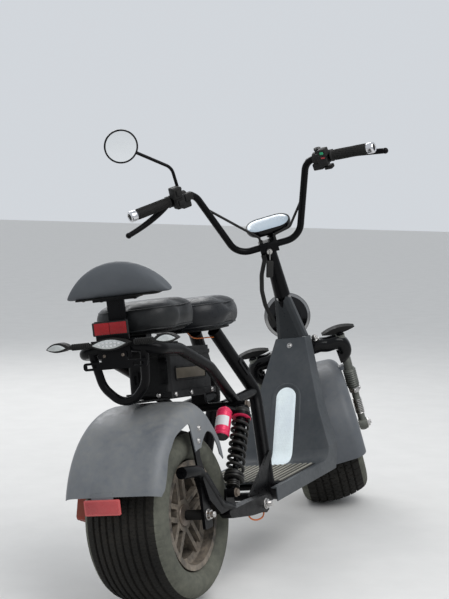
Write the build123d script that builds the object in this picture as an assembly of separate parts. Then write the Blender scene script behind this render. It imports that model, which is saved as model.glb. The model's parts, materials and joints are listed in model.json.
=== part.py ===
from build123d import *
from math import asin, cos, degrees, radians, sin
import os

os.makedirs("parts", exist_ok=True)

# An electric scooter with two fat tyres, a low footboard and a high handlebar, in millimetres.
# It is drawn upright with its steering straight: X forward, Y left, Z up, zero below the rear
# axle. At the end it is steered, leaned onto its side stand, set on the ground and centred.

# Stance
wheelbase = 1259
axle_z = 225
rake = 22.4
fork_offset = 30.5
steer_angle = 24.6
lean_angle = 8.3

# Tyres and rims
tyre_radius = 225
tyre_half_width = 112
crown_radius = 250
crown_half_width = 84
tread_thickness = 12
sidewall_thickness = 10
bead_radius = 131
bead_half_width = 92
bead_height = 11
bead_gap = 0.3
rim_flange = 4.5
rim_flange_radius = 139
rim_wall = 6
rim_well_depth = 14
rim_well_half_width = 58
spoke_pairs = 5
spoke_spread = 17
spoke_width = 13
spoke_depth = 18
hub_boss_radius = 26
hub_half_width = 72
motor_radius = 84
motor_half_width = 44
disc_radius = 110
disc_thickness = 4
disc_side = 84
disc_bore_radius = 20
caliper_reach = 114.7
axle_fit = 0.05

# Axles
rear_axle_radius = 8
rear_axle_half = 155
front_axle_radius = 7.5
front_axle_half = 160
spacer_radius = 12
spacer_gap = 0.5
nut_radius = 11.5
nut_length = 9

# Frame
seat_gap = 0.3
frame_tube = 19
floor_tube_z = 172
floor_tube_y = 112
riser_x = 464
knee = (556, 64, 468)
mast_top = (398, 30, 664)
down_tube_foot = (wheelbase - 397, 104)
down_tube_head = (wheelbase - 179, 27, 566)
head_tube_radius = 26
head_tube_low = 345
head_tube_high = 540
stem_radius = 17
column_low_radius = 26
column_high_radius = 20
stem_fit = 0.05
pivot_x = 345
pivot_z = 178
shock_top = (313, 130, 459)
shock_bottom = (138, 148, 252)
cross_tube = 12
shock_eye_half = 10
shock_eye_radius = 13
shock_pin = 7
spring_radius = 21.5
spring_wire = 4.6
spring_turns = 8
reservoir_radius = 21
reservoir_height = 82
reservoir_offset = (-36, 33)
pivot_bolt = 8

# Rear end
arm_y = 134
arm_tube = 15
dropout_thickness = 8
dropout_rear_x = -22
rack_tube = 15
hoop_tube = 11
tail_plate_x = -132
tail_arm_half = 62
tail_light_depth = 22
rack_top = 676
box_slope = 4.5
hoop_x = -92
box_front_gap = 12.4
box_lip = 5
box_length = 258
box_height = 130
box_half_width = 60
box_z = 578
tray_bar_half_width = 20
tray_bar_thickness = 5

# Rear fender
fender_radius = tyre_radius + 55
fender_centre = (15, axle_z + 10)
fender_half_width = 138
fender_wall = 3
fender_edge = 34
fender_skirt_radius = 160
fender_tail_angle = 161
reflector_x = -249.3
reflector_y = 16
indicator_y = 116
tail_lamp_z = 685
plate_thickness = 3

# Front fender
front_fender_radius = tyre_radius + 22
front_fender_half_width = 125
front_fender_edge = 30
front_fender_skirt_radius = tyre_radius - 29
front_fender_rear_angle = 199
front_fender_front_angle = 38

# Footboard and cover
shroud_wall = 4
seam_z = 580
seam_x = wheelbase - 214
seam_half_width = 51
floor_z = 208
floor_half_width = 155
floor_rear_x = 420
floor_front_x = wheelbase - 406
floor_depth = 40
shroud_depth = 54
strip_half_width = 34
strip_top_z = 425
strip_thickness = 2
mat_rib = 6
mat_pitch = 17
cover_top = 545

# Seats
driver_saddle = (256, 250, 82)
driver_saddle_place = (326, 0, 677)
passenger_saddle = (268, 236, 74)
passenger_saddle_place = (56, 0, 698)
pad_half_width = 154
pad_bottom = 795
pad_height = 91
pad_thickness = 58
pad_x = -72
pad_tilt = 8
post_x = -98
post_half_width = 24
post_thickness = 8

# Steering, in its own frame: q forward of the axis, y left, s along the axis from the wheel
crown_s = 315
crown_top = 339.5
leg_top = 343.9
front_indicator_s = 353
cable_radius = 4
loom_radius = 7
lever_radius = 6.5
pod_start = 170
pod_end = 200
clamp_below = 14
clamp_above = 22
leg_y = 150
leg_q = 34
leg_radius = 15
boot_radius = 19
slider_radius = 12.5
clamp_s = 723
bar_radius = 11
bar_low_bend = (-5, 103, 730)
bar_high_bend = (-27, 182, 976)
bar_end = (-144, 380, 993)
grip_radius = 16
grip_length = 122
bar_end_length = 17
lamp_radius = 76
lamp_place = (92, 0, 435)
lamp_depth = 84
lamp_wall = 4
lamp_shift = 30
mirror_place = (-60, 352, 1192)
mirror_radius = 52
mirror_thickness = 12
mirror_stem = 5
boss_q = -51.5
boss_y = 223.3
boss_top = 1012
mirror_hole_radius = 4
mirror_hole_depth = 14
display_size = (92, 148, 26)
display_place = (38, -17, 767)
display_tilt = -10

# Side stand
stand_pivot = (640, 142, 144)
stand_foot_y = 236
stand_foot_x = 662
stand_tube = 10
knuckle_half = 11
stand_foot_radius = 24
stand_foot_thickness = 7

rake_sin = sin(radians(rake))
rake_cos = cos(radians(rake))
axis_forward = Vector(rake_cos, 0, rake_sin)
axis_up = Vector(-rake_sin, 0, rake_cos)
steering_foot = Vector(wheelbase, 0, axle_z) - axis_forward * fork_offset
steering_frame = Plane(origin=steering_foot, x_dir=axis_forward, z_dir=axis_up).location
steered = steering_frame * Rot(Z=steer_angle)
rear_wheel_place = Pos(0, 0, axle_z)
front_wheel_place = steered * Pos(fork_offset, 0, 0)


def carried(location, point):
    """Where a location takes a point."""
    return (location * Pos(*point)).position


def tyre_low_point(location):
    """Height of the lowest point of a tyre whose wheel a location places, axle along Y."""
    centre = carried(location, (0, 0, 0))
    axle = carried(location, (0, 1, 0)) - centre
    return centre.Z - crown_radius - (tyre_radius - crown_radius) * cos(asin(abs(axle.Z)))


def parked_location():
    """Lean to the left, then pitch and lift until both tyres stand on the ground."""
    lean = Rot(X=-lean_angle)
    pitch = 0
    for _ in range(5):
        tilted = Rot(Y=pitch) * lean
        rear_low = tyre_low_point(tilted * rear_wheel_place)
        front_low = tyre_low_point(tilted * front_wheel_place)
        pitch += degrees((front_low - rear_low) / wheelbase)
    return Pos(0, 0, -rear_low) * tilted


parked = parked_location()


def ground_height(x, y):
    """Height of the ground, in the upright frame, under a point of the leaning scooter."""
    origin = carried(parked.inverse(), (0, 0, 0))
    normal = carried(parked.inverse(), (0, 0, 1)) - origin
    return origin.Z - ((x - origin.X) * normal.X + (y - origin.Y) * normal.Y) / normal.Z


stand_foot = (stand_foot_x, stand_foot_y, ground_height(stand_foot_x, stand_foot_y) + 14)
stand_down = (Vector(*stand_foot) - Vector(*stand_pivot)).normalized()
stand_hinge = stand_down.cross(Vector(-1, 0, 0)).normalized()


def rod(start, end, radius):
    axis = Vector(*end) - Vector(*start)
    return Solid.make_cylinder(radius, axis.length, Plane(origin=start, z_dir=axis))


def tube(points, bends, radius):
    """A round tube along straight runs joined by arcs."""
    path = FilletPolyline(*points, radius=bends)
    return sweep(Plane(origin=path @ 0, z_dir=path % 0) * Circle(radius), path=path)


def outline(points, corner=0):
    face = make_face(Polyline(*points, close=True))
    return fillet(face.vertices(), corner) if corner else face


def side_plate(points, y_low, y_high, corner=0):
    """A plate drawn from the side, as X and Z."""
    face = Plane.XZ.offset(-y_high) * outline(points, corner)
    return extrude(face, amount=y_high - y_low, dir=(0, -1, 0))


def front_plate(points, x_low, x_high, corner=0):
    """A plate drawn from behind, as Y and Z."""
    face = Plane.YZ.offset(x_low) * outline(points, corner)
    return extrude(face, amount=x_high - x_low, dir=(1, 0, 0))


def block(low, high):
    size = Vector(*high) - Vector(*low)
    centre = (Vector(*high) + Vector(*low)) / 2
    return Pos(centre) * Box(size.X, size.Y, size.Z)


def along_y(x, z, y_low, y_high, radius):
    return rod((x, y_low, z), (x, y_high, z), radius)


def both_sides(shape):
    return [shape, shape.mirror(Plane.XZ)]


def joined(shapes):
    """One solid from pieces that overlap."""
    shapes = list(shapes)
    return shapes[0].fuse(*shapes[1:])


def at_y(point, sign):
    return (point[0], sign * point[1], point[2])


# Wheels, around the Y axis at the origin


def spun(points):
    """A ring from a closed outline of axle position and radius."""
    return revolve(Plane.YZ * outline(points), Axis.Y)


def crown_height(y):
    """Radius of the tread at a distance from the tyre's middle plane."""
    return tyre_radius - crown_radius + (crown_radius**2 - y**2) ** 0.5


def make_tyre():
    shoulder = crown_height(crown_half_width)
    bead_top = bead_radius + bead_height
    outside = [
        (0, tyre_radius),
        (crown_half_width / 2, crown_height(crown_half_width / 2)),
        (crown_half_width, shoulder),
        (tyre_half_width - 6, shoulder - 15),
        (tyre_half_width, shoulder - 36),
        (tyre_half_width - 3, bead_top + 18),
        (bead_half_width, bead_top),
        (bead_half_width, bead_radius),
    ]
    inside = [
        (bead_half_width - sidewall_thickness, bead_radius),
        (bead_half_width - sidewall_thickness, bead_top),
        (tyre_half_width - sidewall_thickness, shoulder - 36),
        (crown_half_width - 4, shoulder - tread_thickness),
        (0, tyre_radius - tread_thickness),
    ]
    left = outside + inside
    right = [(-y, r) for y, r in reversed(left[1:-1])]
    return spun(left[:8] + left[8:] + right)


def make_rim(spoke_side, drum_room):
    """A cast rim: a barrel with two flanges, and pairs of spokes from its hub."""
    seat = bead_radius - bead_gap
    flange_in = bead_half_width + bead_gap
    flange_out = flange_in + rim_flange
    well = seat - rim_well_depth
    shoulder_y = rim_well_half_width + 8
    half_top = [
        (rim_well_half_width, well),
        (shoulder_y, seat),
        (flange_in, seat),
        (flange_in, rim_flange_radius),
        (flange_out, rim_flange_radius),
        (flange_out, seat - rim_wall),
        (shoulder_y + 4, seat - rim_wall),
        (rim_well_half_width + 4, well - rim_wall),
    ]
    barrel = spun(half_top + [(-y, r) for y, r in reversed(half_top)])
    spokes = []
    for pair in range(spoke_pairs):
        for side in (-1, 1):
            spoke = block(
                (side * spoke_spread - spoke_width / 2, spoke_side, hub_boss_radius - 6),
                (side * spoke_spread + spoke_width / 2, spoke_side + spoke_depth, well - rim_wall / 2),
            )
            spokes.append(Rot(Y=pair * 360 / spoke_pairs) * spoke)
    hub_low, hub_high = -hub_half_width, hub_half_width
    if drum_room:
        hub_high = spoke_side + spoke_depth
    hub = rod((0, hub_low, 0), (0, hub_high, 0), hub_boss_radius)
    flange = rod((0, spoke_side, 0), (0, spoke_side + spoke_depth, 0), hub_boss_radius + 14)
    return joined([barrel, hub, flange] + spokes)


def axle_bore(radius):
    return rod((0, -120, 0), (0, 120, 0), radius + axle_fit)


spoke_side_rear = -70
spoke_side_front = -spoke_depth / 2


def make_disc(side):
    """A brake disc with a ring of slots, on a carrier at the hub."""
    disc = rod((0, side, 0), (0, side + disc_thickness, 0), disc_radius)
    slots = []
    for turn in range(8):
        slot = block((-14, side - 1, 52), (14, side + disc_thickness + 1, 74))
        slots.append(Rot(Y=turn * 45) * slot)
    hat = rod((0, hub_half_width + seat_gap, 0), (0, side + 1, 0), 36)
    bore = rod((0, side - 20, 0), (0, side + 9, 0), disc_bore_radius)
    return joined([disc - slots, hat]) - bore


def make_motor():
    low = spoke_side_rear + spoke_depth
    shell = rod((0, low, 0), (0, low + 2 * motor_half_width, 0), motor_radius)
    nose = rod((0, low + 2 * motor_half_width, 0), (0, hub_half_width, 0), hub_boss_radius)
    return joined([shell, nose]) - axle_bore(rear_axle_radius)


# Frame


def make_main_frame():
    pieces = []
    for side in (1, -1):
        rail = tube(
            [
                at_y(down_tube_head, side),
                (down_tube_foot[0], side * down_tube_foot[1], floor_tube_z + 4),
                (riser_x, side * floor_tube_y, floor_tube_z),
                at_y(knee, side),
                at_y(mast_top, side),
            ],
            [70, 45, 60],
            frame_tube,
        )
        link = rod(at_y(knee, side), (shock_top[0], side * 70, shock_top[2]), 15)
        pieces += [rail, link]
    eye_side = shock_top[1]
    inner = eye_side - shock_eye_half - seat_gap
    pieces.append(along_y(shock_top[0], shock_top[2], -inner, inner, cross_tube))
    pieces.append(along_y(shock_top[0], shock_top[2], -eye_side - 16, eye_side + 16, shock_pin))
    pieces.append(along_y(riser_x + 20, floor_tube_z, -floor_tube_y, floor_tube_y, cross_tube))
    pieces.append(along_y(stand_pivot[0], floor_tube_z, -floor_tube_y, floor_tube_y, cross_tube))
    mast_x, _, mast_z = mast_top
    seat_plate_top = driver_saddle_place[2] - seat_gap
    pieces.append(block((mast_x - 60, -50, mast_z + 5), (mast_x + 40, 50, seat_plate_top)))
    pivot_plate = [
        (pivot_x - 24, pivot_z - 26),
        (pivot_x - 24, pivot_z + 24),
        (riser_x - 20, 270),
        (riser_x + 45, 310),
        (riser_x + 20, floor_tube_z - 10),
    ]
    for side in both_sides(side_plate(pivot_plate, 106, 114, corner=8)):
        pieces.append(side)
    pivot = Vector(*stand_pivot)
    tube_point = Vector(stand_pivot[0], floor_tube_y, floor_tube_z) - stand_hinge * 17
    pieces.append(rod(pivot - stand_hinge * 23, pivot - stand_hinge * (knuckle_half + seat_gap), 14))
    pieces.append(rod(tube_point, pivot - stand_hinge * 18, 6))
    neck = steering_frame * rod((0, 0, head_tube_low), (0, 0, head_tube_high), head_tube_radius)
    pieces.append(neck)
    bore = steering_frame * rod((0, 0, head_tube_low - 5), (0, 0, head_tube_high + 5), stem_radius + stem_fit)
    pivot_hole = along_y(pivot_x, pivot_z, -120, 120, pivot_bolt + seat_gap)
    return joined(pieces) - bore - pivot_hole


def make_swing_arm():
    path = [(-112, 352), (-20, 340), (78, 232), (150, 208)]
    arm = tube([(x, arm_y, z) for x, z in path], [40, 40], arm_tube)
    beam_outline = [(95, 210), (262, 206), (365, 200), (365, 156), (250, 166), (120, 188)]
    beam = side_plate(beam_outline, arm_y - 15, arm_y + 15, corner=6)
    gusset_outline = [(-22, 322), (6, 332), (86, 242), (120, 212), (62, 212), (2, 262)]
    gusset = side_plate(gusset_outline, arm_y - 13, arm_y + 13, corner=5)
    dropout_outline = [(dropout_rear_x, 190), (dropout_rear_x, 312), (14, 312), (22, 262), (22, 190)]
    inner, outer = arm_y - dropout_thickness / 2, arm_y + dropout_thickness / 2
    dropout = side_plate(dropout_outline, inner, outer, corner=6)
    boss = along_y(pivot_x, pivot_z, arm_y - 15, arm_y + 15, 24)
    lug_outline = [(-16, 330), (-24, 385), (-36, 444), (36, 427), (3, 398), (2, 372), (22, 326)]
    fender_inside = fender_half_width - fender_wall - seat_gap
    lug = side_plate(lug_outline, arm_y - 5, fender_inside, corner=2)
    eye_x, eye_y, eye_z = shock_bottom
    ear_outline = [(eye_x - 30, 200), (eye_x - 14, eye_z + 12), (eye_x + 16, eye_z + 12), (eye_x + 40, 200)]
    ear = side_plate(ear_outline, eye_y - 16, eye_y - shock_eye_half - seat_gap, corner=5)
    pin = along_y(eye_x, eye_z, eye_y - 14, eye_y + 16, shock_pin)
    clear = along_y(0, axle_z, 100, 170, rear_axle_radius)
    solid = joined([arm, beam, gusset, dropout, boss, lug, ear, pin]) - clear
    bolt = along_y(pivot_x, pivot_z, -arm_y - 22, arm_y + 22, pivot_bolt)
    right = solid.mirror(Plane.XZ)
    return joined([solid, right, bolt])


def make_rear_axle():
    axle = along_y(0, axle_z, -rear_axle_half, rear_axle_half, rear_axle_radius)
    inner = arm_y - dropout_thickness / 2
    outer = arm_y + dropout_thickness / 2
    pieces = [axle]
    for side in (-1, 1):
        pieces.append(along_y(0, axle_z, side * (hub_half_width + spacer_gap), side * inner, spacer_radius))
        pieces.append(along_y(0, axle_z, side * outer, side * (outer + nut_length), nut_radius))
    return joined(pieces)


def fender_ring(radius, skirt_radius, half_width, edge, wall, start_angle, sweep_angle):
    """A U-shaped shell swept round an axle at the origin, from an angle above the X axis."""

    def section(grow):
        half = half_width - grow
        top = radius - grow
        low = skirt_radius - (0 if grow == 0 else 2)
        corner = edge - grow
        near = corner * 0.3
        right = [(half, low), (half, top - corner), (half - near, top - near), (half - corner, top)]
        return outline(right + [(-y, r) for y, r in reversed(right)])

    shell = section(0) - section(wall)
    turned = Rot(Y=90 - start_angle) * (Plane.YZ * shell)
    return revolve(turned, Axis((0, 0, 0), (0, -1, 0)), sweep_angle)


def make_rear_fender():
    ring = fender_ring(fender_radius, fender_skirt_radius, fender_half_width, fender_edge, fender_wall, 40,
                       fender_tail_angle - 40)
    ring = Pos(fender_centre[0], 0, fender_centre[1]) * ring
    front_end = side_plate(
        [(25, 560), (25, 500), (62, 464), (97, 426), (121, 392), (132, 340), (132, 200), (420, 200),
         (420, 560)],
        -200, 200)
    rear_window = side_plate(
        [(-234, 200), (-234, 320), (-213, 326), (-203, 340), (-195, 358), (-172, 402), (-121, 444),
         (-46, 464), (-29, 402), (-15, 341), (-10, 200)],
        -200, 200)
    front_window = side_plate(
        [(26, 200), (26, 325), (6, 372), (8, 400), (50, 433), (84, 418), (106, 380), (118, 340), (118, 200)],
        -200, 200)
    foot = block((-20, -200, 200), (60, 200, 357))
    tab_x = reflector_x + seat_gap
    reflector_tab = block((tab_x, reflector_y - 30, 285), (tab_x + 3, reflector_y + 30, 336))
    return joined([ring - front_end - rear_window - front_window - foot, reflector_tab])


def make_front_fender():
    sweep_angle = front_fender_rear_angle - front_fender_front_angle
    ring = fender_ring(front_fender_radius, front_fender_skirt_radius, front_fender_half_width,
                       front_fender_edge, fender_wall, front_fender_front_angle, sweep_angle)
    shell = Pos(fork_offset, 0, 0) * Rot(Y=rake) * ring
    stay_s = front_fender_radius - 22
    leg_inside = leg_y - leg_radius - seat_gap
    stay = block((24, front_fender_half_width - 9, stay_s - 7), (44, leg_inside, stay_s + 7))
    return joined([shell] + both_sides(stay))


box_front = shock_top[0] - cross_tube - box_front_gap
box_place = Pos(box_front - box_length / 2, 0, box_z) * Rot(Y=box_slope)


def make_tray_bar():
    """The flat bar under the battery tray, from the hoop to the cross tube."""
    centre_x = box_front - box_length / 2
    rear, front = hoop_x - centre_x, shock_top[0] - centre_x
    under = -box_height / 2 - seat_gap - tray_bar_thickness / 2
    bar = Pos((rear + front) / 2, 0, under) * Box(front - rear, 2 * tray_bar_half_width, tray_bar_thickness)
    x, _, z = shock_top
    upright = block((x - 7, -tray_bar_half_width, z + 3), (x + 7, tray_bar_half_width, z + 40))
    return joined([box_place * bar, upright])


def make_rear_rack():
    path = [(-113, 36, 676), (-104, 108, 662), (0, 112, 650), (160, 116, 583), (324, 101, 470)]
    pieces = [tube([at_y(p, side) for p in path], [32, 90, 120], rack_tube) for side in (1, -1)]
    side_points = [(hoop_x - 20, 74, 664), (hoop_x - 8, 60, 575)]
    other_points = [at_y(point, -1) for point in reversed(side_points)]
    pieces.append(tube(side_points + [(hoop_x, 0, 516)] + other_points, [60, 50, 60], hoop_tube))
    pieces.append(block((tail_plate_x, -46, 650), (tail_plate_x + 5, 46, 742)))
    pieces.append(block((tail_plate_x, -tail_arm_half, rack_top), (tail_plate_x + 5, tail_arm_half, 694)))
    pieces.append(block((tail_plate_x, -30, 664), (post_x + 20, 30, rack_top)))
    pieces.append(block((-60, -112, 661), (0, 112, 669)))
    pieces.append(block((-30, -40, 668), (0, 40, passenger_saddle_place[2] - seat_gap)))
    pieces.append(make_tray_bar())
    shock_bar = along_y(shock_top[0], shock_top[2], -130, 130, cross_tube + seat_gap)
    return joined(pieces) - shock_bar




def make_battery_box():
    body = Box(box_length, 2 * box_half_width, box_height)
    body = fillet(body.edges().filter_by(Axis.Z), 14)
    lid = Pos(0, 0, box_height / 2 - 16) * Box(box_length + 6, 2 * box_half_width + 6, 10)
    lid = fillet(lid.edges().filter_by(Axis.Z), 15)
    tray_width = 2 * (box_half_width + box_lip + 1)
    tray = Pos(0, 0, -box_height / 2 + 8) * Box(box_length + 2 * box_lip, tray_width, 16)
    return box_place * joined([body, lid, tray])


def foot_side(inset):
    """The shroud and floor from the side, moved in by a wall, or out where inset is negative."""
    run = seam_x - floor_front_x
    rise = seam_z - floor_z
    back_shift = inset * (run**2 + rise**2) ** 0.5 / rise
    profile = [
        (seam_x + back_shift + 20 * run / rise, seam_z + 20),
        (floor_front_x + back_shift - inset * run / rise, floor_z - inset),
        (floor_rear_x - 20, floor_z - inset),
        (floor_rear_x - 20, floor_z - floor_depth - 20),
        (floor_front_x + shroud_depth, floor_z - floor_depth - 20),
        (seam_x + shroud_depth + 20 * run / rise, seam_z + 20),
    ]
    face = outline(profile)
    bends = face.vertices().sort_by_distance((floor_front_x, floor_z))[0:1]
    face = fillet(bends, 55 + inset)
    return extrude(Plane.XZ.offset(-200) * face, amount=400, dir=(0, -1, 0))


def foot_front(inset):
    """The shroud and floor from the front, moved in by a wall."""
    right = [(seam_half_width - inset, seam_z)]
    steps = ((78, 100), (112, 222), (floor_half_width, 335))
    right += [(width - inset, seam_z - drop) for width, drop in steps]
    right.append((floor_half_width - inset, floor_z - floor_depth))
    front = outline(right + [(-y, z) for y, z in reversed(right)])
    return extrude(Plane.YZ.offset(floor_rear_x) * front, amount=900, dir=(1, 0, 0))


def make_shroud():
    shell = (foot_side(0) - foot_side(shroud_wall)) & foot_front(0)
    edge = (foot_side(0) & foot_front(0)) - foot_front(shroud_wall)
    notch = block((floor_rear_x - 10, -137, 100), (riser_x + 40, 137, 300))
    return joined([shell, edge]) - notch


def make_strip():
    band = foot_side(-seat_gap - strip_thickness) - foot_side(-seat_gap)
    low, half = floor_z - 80, strip_half_width
    window = front_plate([(-half, low), (-half, strip_top_z), (half, strip_top_z), (half, low)],
                         floor_front_x - 73, floor_front_x + 115, corner=half - 1)
    return band & window


def make_mat():
    base = block((riser_x + 40, -140, floor_z + seat_gap), (floor_front_x - 73, 140, floor_z + 1.6))
    ribs = []
    count = int(2 * 132 / mat_pitch)
    for i in range(count + 1):
        y = (i - count / 2) * mat_pitch
        low = (riser_x + 44, y - mat_rib / 2, floor_z + 1)
        high = (floor_front_x - 77, y + mat_rib / 2, floor_z + 4)
        ribs.append(block(low, high))
    return joined([base] + ribs)


def chamfered_rectangle(length, width, corner):
    half_x, half_y = length / 2, width / 2
    near = corner * 0.3
    quarter = [(half_x, half_y - corner), (half_x - near, half_y - near), (half_x - corner, half_y)]
    points = quarter + [(-x, y) for x, y in reversed(quarter)]
    points += [(-x, -y) for x, y in quarter] + [(x, -y) for x, y in reversed(quarter)]
    return outline(points)


def make_head_cover():
    def skin(inset):
        low = Plane(origin=(seam_x + 27, 0, seam_z + 0.4 - 6 * (inset > 0)), z_dir=(0, 0, 1))
        top_point = steering_foot + axis_up * (cover_top + 6 * (inset > 0))
        high = Plane(origin=(top_point.X, 0, top_point.Z), z_dir=(0, 0, 1))
        base = low * chamfered_rectangle(56 - 2 * inset, 2 * (seam_half_width - inset), 18 - inset)
        peak = high * chamfered_rectangle(52 - 2 * inset, 2 * (25 - inset), 18 - inset)
        return loft([base, peak], ruled=True)

    return skin(0) - skin(3) - steering_frame * rod((0, 0, 300), (0, 0, 700), head_tube_radius + seat_gap)


def saddle(size, place, top_edge, low_edge):
    length, width, height = size
    plan = RectangleRounded(length, width, width / 2 - 6)
    body = extrude(plan, height)
    body = chamfer(body.edges().group_by(Axis.Z)[-1], top_edge * 0.6)
    body = chamfer(body.edges().group_by(Axis.Z)[-1], top_edge * 0.3)
    body = chamfer(body.edges().group_by(Axis.Z)[0], low_edge)
    return Pos(*place) * body


pad_place = Pos(pad_x - pad_thickness / 2, 0, pad_bottom) * Rot(Y=-pad_tilt)


def make_backrest():
    arch = ThreePointArc((pad_half_width, 0), (0, pad_height), (-pad_half_width, 0))
    face = make_face([arch, Line((-pad_half_width, 0), (pad_half_width, 0))])
    face = fillet(face.vertices(), 9)
    body = extrude(Plane.YZ * face, amount=pad_thickness, dir=(1, 0, 0))
    body = chamfer(body.edges().group_by(Axis.X)[0], 8)
    body = chamfer(body.edges().group_by(Axis.X)[-1], 8)
    return pad_place * body


def make_post():
    low = (post_x, -post_half_width, rack_top + seat_gap)
    strap = block(low, (post_x + post_thickness, post_half_width, pad_bottom - 2))
    top_plate = block((0, -62, -6 - seat_gap), (44, 62, -seat_gap))
    return joined([strap, pad_place * top_plate])


def make_reflectors():
    upper = block((tail_plate_x - 8, -49, 706), (tail_plate_x - seat_gap, 49, 740))
    lower = block((reflector_x - 7, reflector_y - 49, 283), (reflector_x, reflector_y + 49, 321))
    return [upper, lower]


def leaf(length, height, depth):
    """A leaf-shaped lamp body along Y."""
    face = make_face([
        ThreePointArc((0, 0), (length * 0.45, height * 0.6), (length, 0)),
        ThreePointArc((length, 0), (length * 0.5, -height * 0.4), (0, 0)),
    ])
    return extrude(Plane.YZ * face, amount=depth, dir=(1, 0, 0))


def make_tail_light():
    half = 55
    upper = ThreePointArc((-half, 0), (0, 15), (half, 0))
    lower = ThreePointArc((half, 0), (0, -15), (-half, 0))
    depth = tail_light_depth - seat_gap
    body = extrude(Plane.YZ * make_face([upper, lower]), amount=depth, dir=(1, 0, 0))
    return Pos(tail_plate_x - tail_light_depth, 0, tail_lamp_z) * body


def make_rear_indicators():
    x, z = tail_plate_x - 5, tail_lamp_z
    body = Pos(x - 11, indicator_y, z) * leaf(68, 24, 22)
    stem = rod((x, tail_arm_half + seat_gap, z), (x, indicator_y + 5, z), 6)
    return both_sides(joined([body, stem]))


def make_plate_bracket():
    front = tail_plate_x - seat_gap
    back = front - plate_thickness
    plate = front_plate([(-36, 622), (-36, 664), (36, 664), (36, 622)], back, front, corner=3)
    ears = front_plate([(-90, 622), (-90, 642), (90, 642), (90, 622)], back, front, corner=8)
    slots = []
    for side in (-1, 1):
        corners = [(side * 52, 628), (side * 52, 636), (side * 80, 636), (side * 80, 628)]
        slots.append(front_plate(corners, back - 10, front + 5))
    return joined([plate, ears]) - slots


shock_axis = Vector(*shock_top) - Vector(*shock_bottom)
shock_length = shock_axis.length
shock_place = Plane(origin=shock_bottom, z_dir=shock_axis, x_dir=(0, 1, 0)).location


def make_shock_body():
    shaft = rod((0, 0, 8), (0, 0, shock_length - 14), 8)
    seat_low = rod((0, 0, 38), (0, 0, 46), 27)
    cup = rod((0, 0, 20), (0, 0, 40), 16)
    damper = rod((0, 0, shock_length * 0.42), (0, 0, shock_length - 30), 15)
    seat_high = rod((0, 0, shock_length - 44), (0, 0, shock_length - 34), 27)
    cap = rod((0, 0, shock_length - 36), (0, 0, shock_length - 12), 20)
    arm = rod((0, 0, shock_length - 26), (reservoir_offset[0], reservoir_offset[1], shock_length - 26), 9)
    body = [shock_place * joined([shaft, seat_low, cup, damper, seat_high, cap, arm])]
    holes = []
    for x, y, z in (shock_bottom, shock_top):
        body.append(along_y(x, z, y - shock_eye_half, y + shock_eye_half, shock_eye_radius))
        holes.append(along_y(x, z, y - 20, y + 20, shock_pin + seat_gap))
    return joined(body) - holes


def make_shock_spring():
    low = 46 + 5
    high = shock_length - 44 - 5
    path = Helix(pitch=(high - low) / spring_turns, height=high - low, radius=spring_radius)
    section = Plane(origin=path @ 0, z_dir=path % 0) * RegularPolygon(spring_wire, 6)
    wire = sweep(section, path=path, is_frenet=True)
    return shock_place * Pos(0, 0, low) * wire


def make_reservoir():
    body = rod((0, 0, 0), (0, 0, reservoir_height), reservoir_radius)
    body = chamfer(body.edges(), 3)
    x, y = reservoir_offset
    return shock_place * Pos(x, y, shock_length - 35 - seat_gap - reservoir_height) * body


def caliper_body(outer_side):
    """A caliper over the edge of a disc, straight above the axle."""
    body = block((-28, disc_side - 12, 76), (28, outer_side, caliper_reach))
    slot = block((-40, disc_side - 2, 60), (40, disc_side + disc_thickness + 2, 112))
    return body - slot


def make_rear_caliper():
    outboard = block((-30, tyre_half_width + 6, 92), (30, 150, 160))
    outboard = fillet(outboard.edges().filter_by(Axis.Y), 10)
    body = joined([caliper_body(tyre_half_width + 10), outboard])
    hanger_x = dropout_rear_x - seat_gap
    hanger = side_plate([(-110, 258), (-105, 300), (hanger_x, 262), (hanger_x, 225)], 130, 138)
    return joined([rear_wheel_place * Rot(Y=-68) * body, hanger])


def make_side_stand():
    pivot = Vector(*stand_pivot)
    knuckle = rod(pivot - stand_hinge * knuckle_half, pivot + stand_hinge * knuckle_half, 15)
    leg = rod(stand_pivot, stand_foot, stand_tube)
    foot = carried(parked, stand_foot)
    pad = Pos(foot.X, foot.Y, stand_foot_thickness / 2) * Cylinder(stand_foot_radius, stand_foot_thickness)
    stub = rod((foot.X, foot.Y, 2), (foot.X, foot.Y, foot.Z), stand_tube)
    return parked.inverse() * joined([parked * leg, parked * knuckle, pad, stub])


# Steering, drawn round its own axis


def make_stem():
    low = rod((0, 0, crown_s - 25), (0, 0, head_tube_high + 14), stem_radius)
    foot = Plane(origin=(0, 0, head_tube_high + 12))
    column = Solid.make_cone(column_low_radius, column_high_radius, clamp_s - 14 - head_tube_high - 12, foot)
    return joined([low, column])


def make_crown():
    half = [(40, crown_top), (76, 349), (152, 342), (174, 326), (174, 264), (132, 264), (112, 290), (60, 304)]
    arch = half + [(-y, s) for y, s in reversed(half)]
    beam = front_plate(arch, 13, 58, corner=7)
    boss = joined([rod((0, 0, 306), (0, 0, crown_top), 26), block((0, -24, 306), (20, 24, crown_top))])
    legs = [rod((leg_q, side * leg_y, 200), (leg_q, side * leg_y, 400), leg_radius) for side in (1, -1)]
    stem = rod((0, 0, 200), (0, 0, 400), stem_radius)
    lamp_axis = Vector(rake_cos, 0, -rake_sin)
    lamp_back = Vector(*lamp_place) - lamp_axis * (lamp_shift + seat_gap)
    post_top = lamp_back - lamp_axis * 25
    lamp_post = rod((post_top.X, 0, 320), post_top, 9)
    lamp_stub = rod(post_top, lamp_back, 11)
    return joined([beam, boss, lamp_post, lamp_stub]) - legs - stem


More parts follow.
